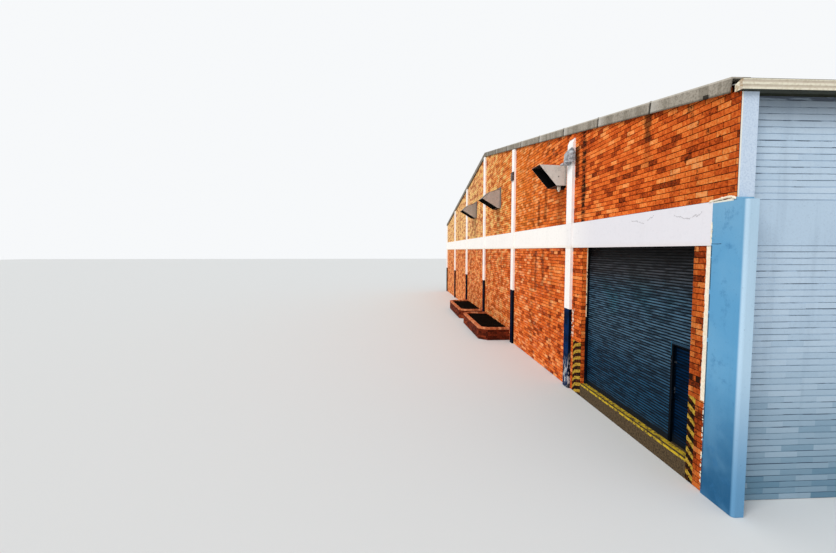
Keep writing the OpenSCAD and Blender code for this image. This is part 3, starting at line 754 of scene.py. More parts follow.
def shutter_paint(name, crown, hollow, crown_highlight, crown_y, specular=0.06, highlight_bloom=0.3):
    """Dark coating with a painted highlight on the lath crowns, brown dust near the head, and painted shade
    right under the beam.
    """
    finish = Finish(name)
    z = finish.z
    scratch = finish.grain(22, 5.0, 0.7, (0.25, 1.0, 2.5))
    base = finish.mix(hollow, crown, finish.between(scratch, 0.35, 0.65))
    # Painted highlight on the lath crowns, in patches, lighter between about one and two metres up.
    crowns = finish.between(finish.y, crown_y + CROWN_DEPTH, crown_y + 0.001) * (finish.y > crown_y - 0.0003)
    patchy = finish.between(finish.grain(1.0, 4.0, 0.6, (3.0, 1.0, 20.0)), 0.38, 0.6) * 0.75 + 0.25
    lit = finish.mix(crown_highlight, colour(122, 152, 168), finish.between(z, 0.9, 2.0) * highlight_bloom)
    teal = finish.between(finish.grain(1.3, 3.0), 0.48, 0.66) * finish.between(z, 1.6, 2.4)
    lit = finish.mix(lit, colour(34, 92, 104), teal * 0.5)
    base = finish.mix(base, lit, crowns * patchy)
    # The dust near the head keeps a painted highlight on the crowns.
    dust_and_highlight = finish.mix(colour(9, 8, 8), colour(62, 56, 55), crowns * patchy)
    dusty = finish.between(z, 2.5, 3.1) * finish.between(finish.grain(6, 4.0), 0.0, 0.4)
    base = finish.mix(base, dust_and_highlight, dusty * 0.85)
    # Painted shade: nearly black right under the beam.
    base = finish.mix(base, colour(4, 3, 3), finish.between(z, 3.05, 3.4) * 0.85)
    base = finish.mix(base, colour(40, 44, 46), finish.between(z, 0.55, 0.3) * 0.4)
    guide_edge = (finish.y < GUIDE_EDGE_Y) * (z > 1.9) * (finish.x < FAR_GUIDE_TO)
    base = finish.mix(base, colour(236, 216, 180), guide_edge * (finish.grain(9, 4.0) > 0.4) * 0.9)
    finish.bump(scratch, 0.0012)
    return finish.done(base, finish.grain(10, 3.0) * 0.3 + 0.45, 0.0, specular)


def wicket_frame_paint():
    """Nearly black posts, with a painted highlight on the head's front like the laths' and a teal painted
    highlight at the top of the post's edge.
    """
    finish = Finish("wicket_frame_paint")
    low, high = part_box("wicket_frame")
    fine = finish.grain(35, 5.0, 0.6)
    base = finish.mix(colour(1, 3, 7), colour(3, 9, 17), finish.between(fine, 0.25, 0.6))
    # Painted highlight on the front of the head.
    head = (finish.z > high.z - WICKET_HEAD_EDGE) * (finish.y < low.y + 0.004)
    base = finish.mix(base, colour(42, 68, 88), head * finish.between(fine, 0.2, 0.5) * 0.85)
    # Painted highlight in teal at the top of the post's left edge.
    corner = (finish.z > high.z - 0.24) * (finish.x < low.x + POST_EDGE) * (finish.y < low.y + 0.01)
    base = finish.mix(base, colour(24, 84, 112), corner * 0.8)
    finish.bump(fine, 0.0008)
    return finish.done(base, 0.55, 0.0, 0.04)


curtain_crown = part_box("shutter_curtain")[0].y
leaf_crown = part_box("wicket_frame")[0].y + 0.0385
SHUTTER_BLUE = shutter_paint(
    "shutter_blue", colour(1, 17, 33), colour(0, 4, 9), colour(30, 72, 100), curtain_crown)
LEAF_BLUE = shutter_paint(
    "leaf_blue", colour(0, 13, 28), colour(0, 3, 8), colour(1, 32, 62), leaf_crown, 0.02, 0.0)
FRAME_BLUE = wicket_frame_paint()
print("crowns at", round(curtain_crown, 4), "and", round(leaf_crown, 4))

# %% [markdown]
# ## Gutter enamel and fibre cement
# The box gutter is cream enamel with darker flutes, and rust eats the caps at its ends. The verge is a
# row of fibre-cement pieces, each lapped under a collar at its upper end. A piece's pattern has to
# follow the rake, so the distance down the rake is worked out from X and Z, and its remainder after
# the length of one piece says where a point is on its piece.

# %% Gutter enamel and fibre cement
FLUTES_FROM, FLUTES_TO = 15.02, 15.066
LIP_Z = 5.604
BOARD_FROM, BOARD_TO = 5.4, 5.4765
VERGE_PIECE = 1.85
VERGE_FIRST = 0.42
VERGE_JOINT = 0.036
ROOF_APEX = 8.19
ROOF_FALL = 0.168
PITCH = math.atan(ROOF_FALL)


def gutter_enamel():
    """Cream enamel with darker flutes and rusty end caps; a painted shadow runs along the top under the
    roof, and the underside is dark olive painted shade.
    """
    finish = Finish("gutter_enamel")
    x, y, z = finish.x, finish.y, finish.z
    fine = finish.grain(25, 4.0)
    base = finish.mix(colour(222, 212, 188), colour(238, 230, 208), finish.between(fine, 0.3, 0.6))
    base = weathered(finish, base, 0.03, 0.05, colour(150, 134, 106))
    flutes = x.within(FLUTES_FROM, FLUTES_TO) + x.within(-FLUTES_TO, -FLUTES_FROM)
    base = finish.mix(base, colour(176, 156, 140), flutes * 0.55)
    caps = (y < -0.045) + (y > 20.045)
    rust = finish.between(finish.grain(18, 5.0, 0.7), 0.46, 0.58)
    base = finish.mix(base, colour(150, 112, 46), rust * (caps * 0.6 + 0.01))
    # Painted shadow along the top, under the roof's edge.
    base = finish.mix(base, colour(58, 54, 40), (z > LIP_Z) * 0.85)
    # Painted shade: the underside dark olive, like the eaves board.
    base = finish.mix(base, colour(36, 40, 26), z.within(BOARD_FROM, BOARD_TO) * 0.95)
    finish.bump(fine, 0.0004)
    return finish.done(base, 0.42)


def fibre_cement():
    """Grey-cream cement pieces, each brighter at its upper end, with a dark collar at the joint, a painted
    highlight along the top edge and painted shade along the lower edge.
    """
    finish = Finish("fibre_cement")
    fine = finish.grain(38, 5.0, 0.65)
    base = finish.mix(colour(106, 98, 87), colour(168, 159, 145), finish.between(fine, 0.2, 0.6))
    runs = finish.between(finish.grain(1.0, 5.0, 0.65, (6.0, 6.0, 0.7)), 0.44, 0.6)
    base = finish.mix(base, colour(92, 84, 68), runs * 0.4)
    out = abs(finish.x)
    away = out * math.cos(PITCH) + (ROOF_APEX - finish.z) * math.sin(PITCH)
    along = finish.fraction((away - VERGE_FIRST + VERGE_PIECE) / VERGE_PIECE) * VERGE_PIECE
    base = finish.mix(base, colour(208, 202, 192), finish.between(along, 0.35, 0.06) * 0.55)
    base = finish.mix(base, colour(34, 28, 20), (along < VERGE_JOINT + 0.002) * 0.9)
    lichen = finish.between(finish.grain(11, 5.0, 0.7), 0.6, 0.72)
    base = finish.mix(base, colour(64, 58, 44), lichen * 0.55)
    # Painted shade along the lower edge of the verge, and a painted highlight along its top edge.
    below = ROOF_APEX - finish.z - out * ROOF_FALL
    base = finish.mix(base, colour(58, 50, 38), finish.between(below, 0.165, 0.19) * 0.6)
    base = finish.mix(base, colour(220, 212, 198), finish.between(below, 0.03, 0.015) * 0.5)
    base = finish.mix(base, colour(88, 80, 68), finish.between(finish.x, 8.0, 2.0) * 0.35)
    chip = finish.x.within(14.41, 14.52) * (below > 0.145)
    base = finish.mix(base, colour(30, 24, 18), chip * 0.9)
    finish.bump(fine, 0.002)
    return finish.done(base, 0.85)


GUTTER_ENAMEL = gutter_enamel()
VERGE_CEMENT = fibre_cement()
print("roof falls", round(math.degrees(PITCH), 2), "degrees")

# %% [markdown]
# ## Concrete, lamps and soil
# The sill is rough concrete with what is left of two yellow lines; the floor behind it is smooth, with
# spots of oil. The lamp housings are blotchy grey, and the small one is dark brown. Soil is dark,
# and its clods are the same noise in colour and in relief. Four small parts are flat paint.

# %% Concrete, lamps and soil
SILL_EDGE_TO = 0.012
SILL_EDGE_Z = 0.262
SILL_LINE = (0.05, 0.14)
SILL_LINE_Z = 0.29
SMALL_LAMP_TO = 7.0


def sill_concrete():
    """Rough concrete with a worn yellow edge and a worn yellow line behind it."""
    finish = Finish("sill_concrete")
    y, z = finish.y, finish.z
    fine = finish.grain(30, 5.0, 0.7)
    base = finish.mix(colour(40, 30, 18), colour(98, 80, 56), finish.between(fine, 0.3, 0.65))
    worn = finish.between(finish.grain(10, 5.0, 0.75), 0.4, 0.54)
    edge = (y < SILL_EDGE_TO) * (z > SILL_EDGE_Z)
    line = y.within(*SILL_LINE) * (z > SILL_LINE_Z)
    base = finish.mix(base, colour(214, 180, 40), (edge + line) * worn * 0.92)
    finish.bump(fine, 0.004)
    return finish.done(base, 0.85)


def floor_concrete():
    """Smooth grey floor with spots of oil."""
    finish = Finish("floor_concrete")
    fine = finish.grain(14, 6.0, 0.65)
    base = finish.mix(colour(118, 114, 106), colour(158, 154, 144), finish.between(fine, 0.3, 0.7))
    oil = finish.between(finish.grain(0.8, 4.0), 0.6, 0.72)
    base = finish.mix(base, colour(62, 58, 52), oil * 0.5)
    finish.bump(fine, 0.001)
    return finish.done(base, finish.grain(3, 3.0) * 0.3 + 0.4)


def lamp_paint():
    """Grey lamp housings; the small box on the next pilaster is dark brown."""
    finish = Finish("lamp_grey")
    fine = finish.grain(35, 5.0, 0.6)
    blotchy = finish.between(finish.grain(14, 5.0, 0.7), 0.35, 0.6)
    base = finish.mix(colour(110, 114, 118), colour(190, 194, 198), blotchy)
    base = weathered(finish, base, 0.15, 0.2)
    dark_brown = (finish.x < SMALL_LAMP_TO) * finish.between(fine, 0.2, 0.5)
    base = finish.mix(base, colour(70, 50, 42), dark_brown)
    finish.bump(fine, 0.0015)
    return finish.done(base, 0.5)


def bare_soil():
    """Dark clods with paler tops."""
    finish = Finish("bare_soil")
    clods = finish.grain(22, 6.0, 0.7)
    tints = [(0.3, colour(6, 4, 3)), (0.6, colour(20, 14, 9)), (0.8, colour(48, 36, 26))]
    base = finish.ramp(clods, tints)
    finish.bump(clods, 0.01)
    return finish.done(base, 0.95, 0.0, 0.01)


SILL = sill_concrete()
FLOOR = floor_concrete()
LAMP_GREY = lamp_paint()
SOIL = bare_soil()
# The eaves boards: dark olive paint, darkened further as painted shade under the eaves.
SOFFIT_PAINT_AND_SHADE = flat_paint("soffit_paint_and_shade", colour(50, 52, 38), colour(26, 28, 18), 0.7)
STEEL_PRIMER = flat_paint("steel_primer", colour(124, 128, 130), colour(96, 100, 104), 0.55)
DARK_IRON = flat_paint("dark_iron", colour(40, 36, 34), colour(18, 16, 14), 0.55, 0.1, 0.1, 0.4)
WHITE_MORTAR = flat_paint("white_mortar", colour(252, 240, 218), colour(232, 214, 184), 0.85, 0.1, 0.1)
print("finishes", len(bpy.data.materials))

# %% [markdown]
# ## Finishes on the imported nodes
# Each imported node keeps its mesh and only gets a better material. A dictionary from finish to node
# names reads like a painter's schedule, and it shows at once if a node has been left out.

# %% Painter's schedule
SCHEDULE = [
    (FRONT_MORTAR, "front_wall door_jamb_near front_gable"),
    (PLAIN_MORTAR, "side_wall_far rear_wall"),
    (WHITE_MASONRY, "front_tie_beam pilaster_a pilaster_b pilaster_c pilaster_d pilaster_e pilaster_f"),
    (WHITE_MASONRY, "side_tie_beam_far rear_tie_beam side_pilasters_far rear_pilasters"),
    (PIER_BLUE, "corner_pier"),
    (RETURN_BLUE, "corner_return"),
    (PALE_JOINT, "side_wall_near"),
    (PALE_WALL, "side_tie_beam_near side_pilasters_near"),
    (FLOOR, "floor_slab"),
    (SILL, "door_sill"),
    (STEEL_PRIMER, "frame_columns frame_rafters purlins"),
    (ROOF_SHEET, "roof_sheet_near roof_sheet_far ridge_cap"),
    (VERGE_CEMENT, "verge_front_near verge_front_far verge_rear"),
    (SOFFIT_PAINT_AND_SHADE, "eaves_boards"),
    (GUTTER_ENAMEL, "gutter_near gutter_far downpipes"),
    (SHUTTER_BLUE, "shutter_curtain shutter_lower shutter_guides"),
    (ROLL_STEEL, "shutter_roll"),
    (FRAME_BLUE, "wicket_frame"),
    (LEAF_BLUE, "wicket_door"),
    (HOOD_ZINC, "hood_1 hood_2 hood_3"),
    (LAMP_GREY, "wall_lamps"),
    (PLAIN_MORTAR, "planter_near planter_far"),
    (SOIL, "planter_soil"),
]
dressed = set()
for material, names in SCHEDULE:
    for name in names.split():
        nodes[name].data.materials.clear()
        nodes[name].data.materials.append(material)
        dressed.add(name)
print("dressed", len(dressed), "left out", sorted(set(nodes) - dressed))

# %% [markdown]
# ## One brick
# A brick in the face of a wall shows its front and a sliver of its edges. It starts as a cube with
# its hidden back taken off, and the front arrises are bevelled. Some twenty-five thousand have to
# stay light, so one segment is enough. Long walls are made by repeating this one shape: each copy is
# moved to its place, and stretched or cut in the middle, so that the arris keeps its size.

# %% A brick and a way to repeat it
BRICK_LENGTH = 0.222
BRICK_HEIGHT = 0.0755
COURSE = 0.0861
PERPEND = 0.010
PROUD = 0.008
ARRIS = 0.003


def soften(shape, edges, offset):
    """A bevel of one segment, which is enough for an arris of a few millimetres."""
    bmesh.ops.bevel(
        shape, geom=edges, offset=offset, segments=1, profile=0.5, affect="EDGES", material=-1)
    shape.verts.index_update()


def brick_shape(end_arrises=True):
    """A brick's front and edges, centred at the origin and facing -Y."""
    shape = bmesh.new()
    bmesh.ops.create_cube(shape, size=1.0)
    bmesh.ops.scale(shape, vec=(BRICK_LENGTH, PROUD, BRICK_HEIGHT), verts=shape.verts)
    bmesh.ops.translate(shape, vec=(0, -PROUD / 2, 0), verts=shape.verts)
    shape.normal_update()
    back = [face for face in shape.faces if face.normal.y > 0.5]
    bmesh.ops.delete(shape, geom=back, context="FACES_ONLY")
    front = [edge for edge in shape.edges if all(vert.co.y < -PROUD / 2 for vert in edge.verts)]
    if not end_arrises:
        span = BRICK_LENGTH / 2
        front = [edge for edge in front if abs(edge.verts[0].co.x - edge.verts[1].co.x) > span]
    soften(shape, front, ARRIS)
    return shape


def piece(name, mesh, material, body="building"):
    """A finished mesh as an object that rides on a body."""
    mesh.materials.append(material)
    made = bpy.data.objects.new(name, mesh)
    bpy.context.scene.collection.objects.link(made)
    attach(made, body)
    return made


def repeat(name, shape, places, turn=Matrix()):
    """A mesh of copies. Each place is (middle, extra length, tone); turn sets the wall they face."""
    corners = np.array([vert.co for vert in shape.verts])
    loops = [[vert.index for vert in face.verts] for face in shape.faces]
    middles = np.array([place[0] for place in places])
    extra = np.array([place[1] for place in places])
    points = middles[:, None, :] + corners[None, :, :]
    points[:, :, 0] += np.sign(corners[None, :, 0]) * extra[:, None] / 2
    size = len(corners)
    faces = [[index + copy * size for index in loop] for copy in range(len(places)) for loop in loops]
    mesh = bpy.data.meshes.new(name)
    mesh.from_pydata(points.reshape(-1, 3).tolist(), [], faces)
    tones = np.repeat([place[2] for place in places], size)
    mesh.attributes.new("tone", "FLOAT", "POINT").data.foreach_set("value", tones.astype(np.float32))
    mesh.transform(turn)
    return mesh


stretcher = brick_shape()
painted_course = brick_shape(end_arrises=False)
print("faces of a brick", len(stretcher.faces))

# %% [markdown]
# ## Laying the courses
# The bond is plain stretcher: every other course starts half a brick along. A course is a list of
# free spans, from which pilasters and openings are taken out, and a brick that meets the end of a
# span is cut short there, as a bricklayer would. The same function serves every wall, because each
# wall is laid as if it were the front and then turned into place.

# %% Courses
SHORTEST_SPAN = 0.04
SHORTEST_CUT = 0.015
UNEVEN = 0.0012
MEAN_TONE = 0.52
TONE_SPREAD = 0.26
kiln_order = random.Random(11)


def free_spans(start, end, taken):
    """What is left of a course between start and end once the taken spans are out."""
    spans = []
    for low, high in sorted(taken):
        if low > start:
            spans.append((start, min(low, end)))
        start = max(start, high)
    if start < end:
        spans.append((start, end))
    return [span for span in spans if span[1] - span[0] > SHORTEST_SPAN]


def lay_course(spans, height, odd, perpend=PERPEND, length=BRICK_LENGTH, uneven=UNEVEN):
    """The bricks of one course, cut at the ends of its spans."""
    pitch = length + perpend
    shift = pitch / 2 if odd else 0.0
    laid = []
    for start, end in spans:
        count = math.ceil((end - start) / pitch) + 2
        first = math.floor((start - shift) / pitch)
        for index in range(first, first + count):
            left = max(start, shift + index * pitch + perpend / 2)
            right = min(end, shift + (index + 1) * pitch - perpend / 2)
            if right - left > SHORTEST_CUT:
                lift = kiln_order.uniform(-uneven, uneven)
                middle = ((left + right) / 2, kiln_order.uniform(-UNEVEN, UNEVEN), height + lift)
                tone = min(1.0, max(0.0, kiln_order.gauss(MEAN_TONE, TONE_SPREAD)))
                laid.append((middle, right - left - BRICK_LENGTH, tone))
    return laid


def lay_wall(bottom, top, spans_at, **how):
    """Courses from bottom to top. spans_at gives the free spans of the course at a height."""
    laid = []
    for number in range(round(bottom / COURSE), math.floor(top / COURSE + 0.2)):
        height = (number + 0.5) * COURSE
        laid += lay_course(spans_at(height), height, number % 2, **how)
    return laid


print("bricks in a metre:", round(1.0 / (BRICK_LENGTH + PERPEND), 1))

# %% [markdown]
# ## The front in brick
# The front wall is free between the pilasters, up to the tie beam. Above it the courses grow shorter
# as the gable narrows; a brick may run up behind the verge piece, which hides the cut. One pilaster
# stops short, and the courses close over it. Behind each hood a patch of wall is left open.

# %% Front and gable bricks
HALF_WIDTH = -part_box("front_wall")[0].x
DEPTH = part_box("rear_wall")[1].y
BEAM_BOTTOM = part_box("front_tie_beam")[0].z
BEAM_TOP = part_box("front_tie_beam")[1].z
DOOR_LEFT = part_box("front_wall")[1].x
DOOR_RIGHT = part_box("door_jamb_near")[0].x
JAMB_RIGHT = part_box("door_jamb_near")[1].x
VERGE_DROP = 0.185
HOOD_LIP = 0.05
GABLE_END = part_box("corner_return")[1].x - 0.004
GUIDE_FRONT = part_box("shutter_guides")[0].y

pilasters = [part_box(f"pilaster_{letter}") for letter in "abcdef"]


def front_spans(height):
    taken = [(low.x, high.x) for low, high in pilasters]
    return free_spans(-HALF_WIDTH, DOOR_LEFT + PROUD, taken) + [(DOOR_RIGHT - PROUD, JAMB_RIGHT)]


def roof_reach(height):
    """Half the width of a gable at a height, under the verge."""
    return min(HALF_WIDTH, (ROOF_APEX - VERGE_DROP - height + COURSE / 2) / ROOF_FALL)


def gable_spans(height):
    reach = roof_reach(height)
    taken = [(low.x, high.x) for low, high in pilasters if height < high.z]
    taken += [(low.x, high.x) for low, high in hoods if low.z + HOOD_LIP < height < high.z]
    return free_spans(-reach, reach if reach < HALF_WIDTH else GABLE_END, taken)


front_places = lay_wall(0.0, BEAM_BOTTOM, front_spans)
gable_places = lay_wall(BEAM_TOP, ROOF_APEX, gable_spans)
piece("front_bricks", repeat("front_bricks", stretcher, front_places), FRONT_BRICK)
piece("gable_bricks", repeat("gable_bricks", stretcher, gable_places), FRONT_BRICK)
print("front", len(front_places), "gable", len(gable_places), "bricks")

# %% [markdown]
# The brick returns into the doorway for a hand's breadth, as far as the guides of the shutter.

# %% Door reveals
REVEAL_GAP = 0.002


def turned(degrees, x, y=0.0):
    """Turns a wall that was laid as the front about Z, then moves it to its corner."""
    return Matrix.Translation((x, y, 0)) @ Matrix.Rotation(math.radians(degrees), 4, "Z")


reveal = GUIDE_FRONT - REVEAL_GAP
far_places = lay_wall(0.0, BEAM_BOTTOM, lambda height: [(0.0, reveal)])
near_places = lay_wall(0.0, BEAM_BOTTOM, lambda height: [(-reveal, 0.0)])
for name, places, turn in (
        ("reveal_far", far_places, turned(90, DOOR_LEFT)),
        ("reveal_near", near_places, turned(-90, DOOR_RIGHT))):
    piece(name, repeat(name, stretcher, places, turn), FRONT_BRICK)
print("reveal bricks", len(far_places) + len(near_places))

# %% [markdown]
# ## The other walls
# The side wall by the roller door is painted, and the paint has filled its upright joints, so only the
# beds still read as dark lines. There a course is made of long uneven lengths with no arris at their
# ends. The far side and the rear aren't seen in the picture. They plainly repeat the front's brick.

# %% Side and rear bricks
EAVES_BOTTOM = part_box("gutter_near")[0].z
RETURN_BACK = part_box("corner_return")[1].y
PILASTER_HALF = 0.15
PAINTED_LENGTH = 0.47
PAINTED_UNEVEN = 0.0025
OUTER_POST = HALF_WIDTH - PILASTER_HALF
side_posts = [min(BAY * bay, DEPTH - PILASTER_HALF) for bay in range(1, 5)]
rear_posts = [max(-OUTER_POST, min(OUTER_POST, BAY * bay)) for bay in range(-3, 4)]


def beside_posts(posts):
    """The spans that pilasters take, from their middles."""
    return [(post - PILASTER_HALF, post + PILASTER_HALF) for post in posts]


def near_spans(height):
    start = RETURN_BACK if height > BEAM_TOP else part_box("front_wall")[1].y
    return free_spans(start, DEPTH, beside_posts(side_posts))


def far_spans(height):
    return free_spans(0.0, DEPTH, beside_posts(DEPTH - post for post in side_posts))


def rear_spans(height):
    reach = roof_reach(height)
    return free_spans(-reach, reach, beside_posts(rear_posts))


def both_storeys(spans_at, top, **how):
    """Courses under the tie beam and over it."""
    return lay_wall(0.0, BEAM_BOTTOM, spans_at, **how) + lay_wall(BEAM_TOP, top, spans_at, **how)


near_places = both_storeys(
    near_spans, EAVES_BOTTOM, perpend=0.0, length=PAINTED_LENGTH, uneven=PAINTED_UNEVEN)
far_places = both_storeys(far_spans, EAVES_BOTTOM)
rear_places = both_storeys(rear_spans, ROOF_APEX)
near_mesh = repeat("near_bricks", painted_course, near_places, turned(90, HALF_WIDTH))
far_mesh = repeat("far_bricks", stretcher, far_places, turned(-90, -HALF_WIDTH, DEPTH))
rear_mesh = repeat("rear_bricks", stretcher, rear_places, turned(180, 0, DEPTH))
piece("near_bricks", near_mesh, PALE_WALL)
piece("far_bricks", far_mesh, PLAIN_BRICK)
piece("rear_bricks", rear_mesh, PLAIN_BRICK)
print("near", len(near_places), "far", len(far_places), "rear", len(rear_places), "bricks")

# %% [markdown]
# ## The planters
# Each planter is a low wall of dark brick with canted corners, under a coping of paler bricks laid
# across it. Its outline is a path, and every stretch of the path is a small wall of its own: placed
# at the stretch's start and turned to its bearing, it faces outwards. The bodies are a little squashed,
# because five whole courses would stand higher than the coping's underside.

# %% Planter walls and copings
CANT = 0.30
PLANTER_WALL = 0.11
BODY_SQUASH = 0.925
BODY_COURSES = 5
COPING_PITCH = 0.113
COPING_SIZE = (0.103, 0.132, 0.078)
COPING_ARRIS = 0.005
COPING_UNEVEN = 0.003
COPING_PROUD = 0.004


def solid_brick(size, arris):
    """A whole brick with bevelled edges."""
    shape = bmesh.new()
    bmesh.ops.create_cube(shape, size=1.0)
    bmesh.ops.scale(shape, vec=size, verts=shape.verts)
    soften(shape, shape.edges[:], arris)
    return shape


def planter_path(low, high):
    """The outside corners of a planter, from wall to wall round its front."""
    return [
        Vector((low.x, 0, 0)), Vector((low.x, low.y + CANT, 0)), Vector((low.x + CANT, low.y, 0)),
        Vector((high.x - CANT, low.y, 0)), Vector((high.x, low.y + CANT, 0)), Vector((high.x, 0, 0)),
    ]


def lay_coping(length, top):
    """Bricks laid across a stretch of planter wall, spaced to fill it."""
    count = round(length / COPING_PITCH)
    laid = []
    for index in range(count):
        lift = kiln_order.uniform(-COPING_UNEVEN, COPING_UNEVEN)
        height = top - COPING_SIZE[2] / 2 + COPING_PROUD + lift
        middle = ((index + 0.5) * length / count, PLANTER_WALL / 2, height)
        laid.append((middle, 0.0, kiln_order.uniform(0.1, 0.9)))
    return laid


coping_brick = solid_brick(COPING_SIZE, COPING_ARRIS)
squash = Matrix.Diagonal((1, 1, BODY_SQUASH, 1))
for side in ("near", "far"):
    low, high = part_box(f"planter_{side}")
    path = planter_path(low, high)
    for number, (start, end) in enumerate(zip(path, path[1:])):
        along = end - start
        turn = Matrix.Translation(start) @ Matrix.Rotation(math.atan2(along.y, along.x), 4, "Z")
        body = []
        for course in range(BODY_COURSES):
            body += lay_course([(0.0, along.length)], (course + 0.5) * COURSE, course % 2)
        name = f"planter_{side}_body_{number}"
        piece(name, repeat(name, stretcher, body, turn @ squash), PLANTER_BRICK)
        coping = lay_coping(along.length, high.z)
        name = f"planter_{side}_coping_{number}"
        piece(name, repeat(name, coping_brick, coping, turn), COPING_BRICK)
print("planter stretches", len(path) - 1)

# %% [markdown]
# Soil settles into hollows and lumps of several sizes. A grid from bmesh has the right faces already,
# so its points only have to be moved: in along each row at the cants, and up by three sizes of noise.
# The rows run outwards from the wall, against Y, which turns the faces over, so they are turned back.

# %% Soil
SOIL_COLUMNS = 90
SOIL_ROWS = 22
SOIL_LIFT = 0.018
SOIL_RELIEF = 0.045
LUMPS = ((0.5, 2.3), (0.3, 9.0), (0.2, 26.0))
SOIL_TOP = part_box("planter_soil")[1].z


def plain(name, shape, smooth=False):
    """A bmesh as a mesh."""
    mesh = bpy.data.meshes.new(name)
    shape.to_mesh(mesh)
    shape.free()
    if smooth:
        mesh.shade_smooth()
    return mesh


def soil_sheet(name, low, high):
    """Lumpy soil that fills the planter between its walls."""
    wide = (high.x - low.x) - 2 * PLANTER_WALL
    deep = -low.y - PLANTER_WALL
    inner_cant = CANT - PLANTER_WALL * (2 - math.sqrt(2))
    shape = bmesh.new()
    bmesh.ops.create_grid(shape, x_segments=SOIL_COLUMNS, y_segments=SOIL_ROWS, size=0.5)
    for vert in shape.verts:
        x = wide * (vert.co.x + 0.5)
        reach = deep - max(0.0, inner_cant - min(x, wide - x))
        spot = Vector((low.x + PLANTER_WALL + x, -reach * (vert.co.y + 0.5), 0.0))
        lump = sum(share * noise.noise(spot * scale) for share, scale in LUMPS)
        vert.co = (spot.x, spot.y, SOIL_TOP + SOIL_LIFT + SOIL_RELIEF * lump)
    bmesh.ops.reverse_faces(shape, faces=shape.faces)
    return plain(name, shape, smooth=True)


for side in ("near", "far"):
    low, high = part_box(f"planter_{side}")
    piece(f"soil_{side}", soil_sheet(f"soil_{side}", low, high), SOIL)
print("soil at", round(SOIL_TOP, 3))

# %% [markdown]
# ## The shutter's laths
# A roller shutter is a stack of curved laths, each hooked into the round knuckle of the one above it.
# One lath is an outline drawn out along X, and the curtain is that lath repeated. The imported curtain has
# coarser laths than the picture shows, so the stacks here stand for it. The wicket leaf gets the same
# lath as a thin skin between its stiles. Each lath has a tone of its own, as the bricks have.

# %% Laths
RAIL_HEIGHT = 0.09
LATHS_BESIDE_WICKET = 32
LATHS_ABOVE_WICKET = 41
LATH_BULGE = 0.009
LATH_SKIN = 0.003
KNUCKLE = 0.004
KNUCKLE_FROM, KNUCKLE_TO, KNUCKLE_STEP = 150, 391, 40
ARC_STEPS = 8
curtain_low, curtain_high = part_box("shutter_curtain")
lower_low, lower_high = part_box("shutter_lower")
RAIL_TOP = lower_low.z + RAIL_HEIGHT
LATH = (lower_high.z - RAIL_TOP) / LATHS_BESIDE_WICKET
LATH_LINE = curtain_low.y + LATH_BULGE


def prism(outline, x_low, x_high):
    """A solid with an outline in Y and Z, drawn out along X."""
    shape = bmesh.new()
    end = shape.faces.new([shape.verts.new((x_low, y, z)) for y, z in outline])
    drawn = bmesh.ops.extrude_face_region(shape, geom=[end])["geom"]
    moved = [part for part in drawn if isinstance(part, bmesh.types.BMVert)]
    bmesh.ops.translate(shape, vec=(x_high - x_low, 0, 0), verts=moved)
    bmesh.ops.recalc_face_normals(shape, faces=shape.faces)
    shape.verts.index_update()
    return shape


def lath_arc(bulge, y=0.0):
    """The bulging side of a lath, from just above its foot to its top."""
    turns = [step / ARC_STEPS for step in range(1, ARC_STEPS + 1)]
    return [(y - bulge * math.sin(math.pi * turn), (turn - 0.5) * LATH) for turn in turns]


def hooked_lath():
    """A lath one metre long, with a knuckle round its foot."""
    middle = LATH_SKIN / 2 + 0.001
    turns = [math.radians(degrees) for degrees in range(KNUCKLE_FROM, KNUCKLE_TO, KNUCKLE_STEP)]
    foot = [(middle + KNUCKLE * math.cos(turn), -LATH / 2 + KNUCKLE * math.sin(turn)) for turn in turns]
    front = list(reversed(lath_arc(LATH_BULGE)))
    return prism(front + foot + lath_arc(LATH_BULGE, LATH_SKIN), -0.5, 0.5)


def stack(x_low, x_high, y, foot, count):
    """Places for laths that stand on one another from a foot upwards."""
    places = []
    for number in range(count):
        middle = ((x_low + x_high) / 2, y, foot + (number + 0.5) * LATH)
        places.append((middle, x_high - x_low - 1.0, kiln_order.random()))
    return places


lath = hooked_lath()
above = stack(curtain_low.x, curtain_high.x, LATH_LINE, lower_high.z, LATHS_ABOVE_WICKET)
beside = stack(lower_low.x, lower_high.x, LATH_LINE, RAIL_TOP, LATHS_BESIDE_WICKET)
curtain = piece("curtain_laths", repeat("curtain_laths", lath, above), SHUTTER_BLUE)
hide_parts("shutter_curtain")
lower = piece("lower_laths", repeat("lower_laths", lath, beside), SHUTTER_BLUE)
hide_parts("shutter_lower")
print("laths of", round(LATH * 1000, 1), "mm:", len(above), "above the wicket,", len(beside), "beside it")

# %% [markdown]
# The curtain ends below in a stiff rail with a foot, and above in a strip that leans back to its roll.
# The strip runs from the top lath to the point where it touches the roll, which is where a line from
# there is square to the roll's radius.

# %% Rail and lead to the roll
RAIL_HALF = 0.006
RAIL_FOOT = 0.008
RAIL_BACK = curtain_low.y + 0.012 + RAIL_HALF
LEAD_IN = 0.048
LEAD_DROP = 0.002
ROLL_RADIUS = 0.151
ROLL_ROOM = 0.17

base_z = lower_low.z
rail = [
    (RAIL_BACK, RAIL_TOP), (RAIL_BACK, base_z + RAIL_HALF),
    (RAIL_BACK + RAIL_FOOT, base_z + RAIL_HALF), (RAIL_BACK + RAIL_FOOT, base_z),
    (RAIL_BACK - 2 * RAIL_HALF, base_z), (RAIL_BACK - 2 * RAIL_HALF, RAIL_TOP),
]
rail_mesh = plain("bottom_rail", prism(rail, lower_low.x, lower_high.x))
piece("bottom_rail", rail_mesh, SHUTTER_BLUE)

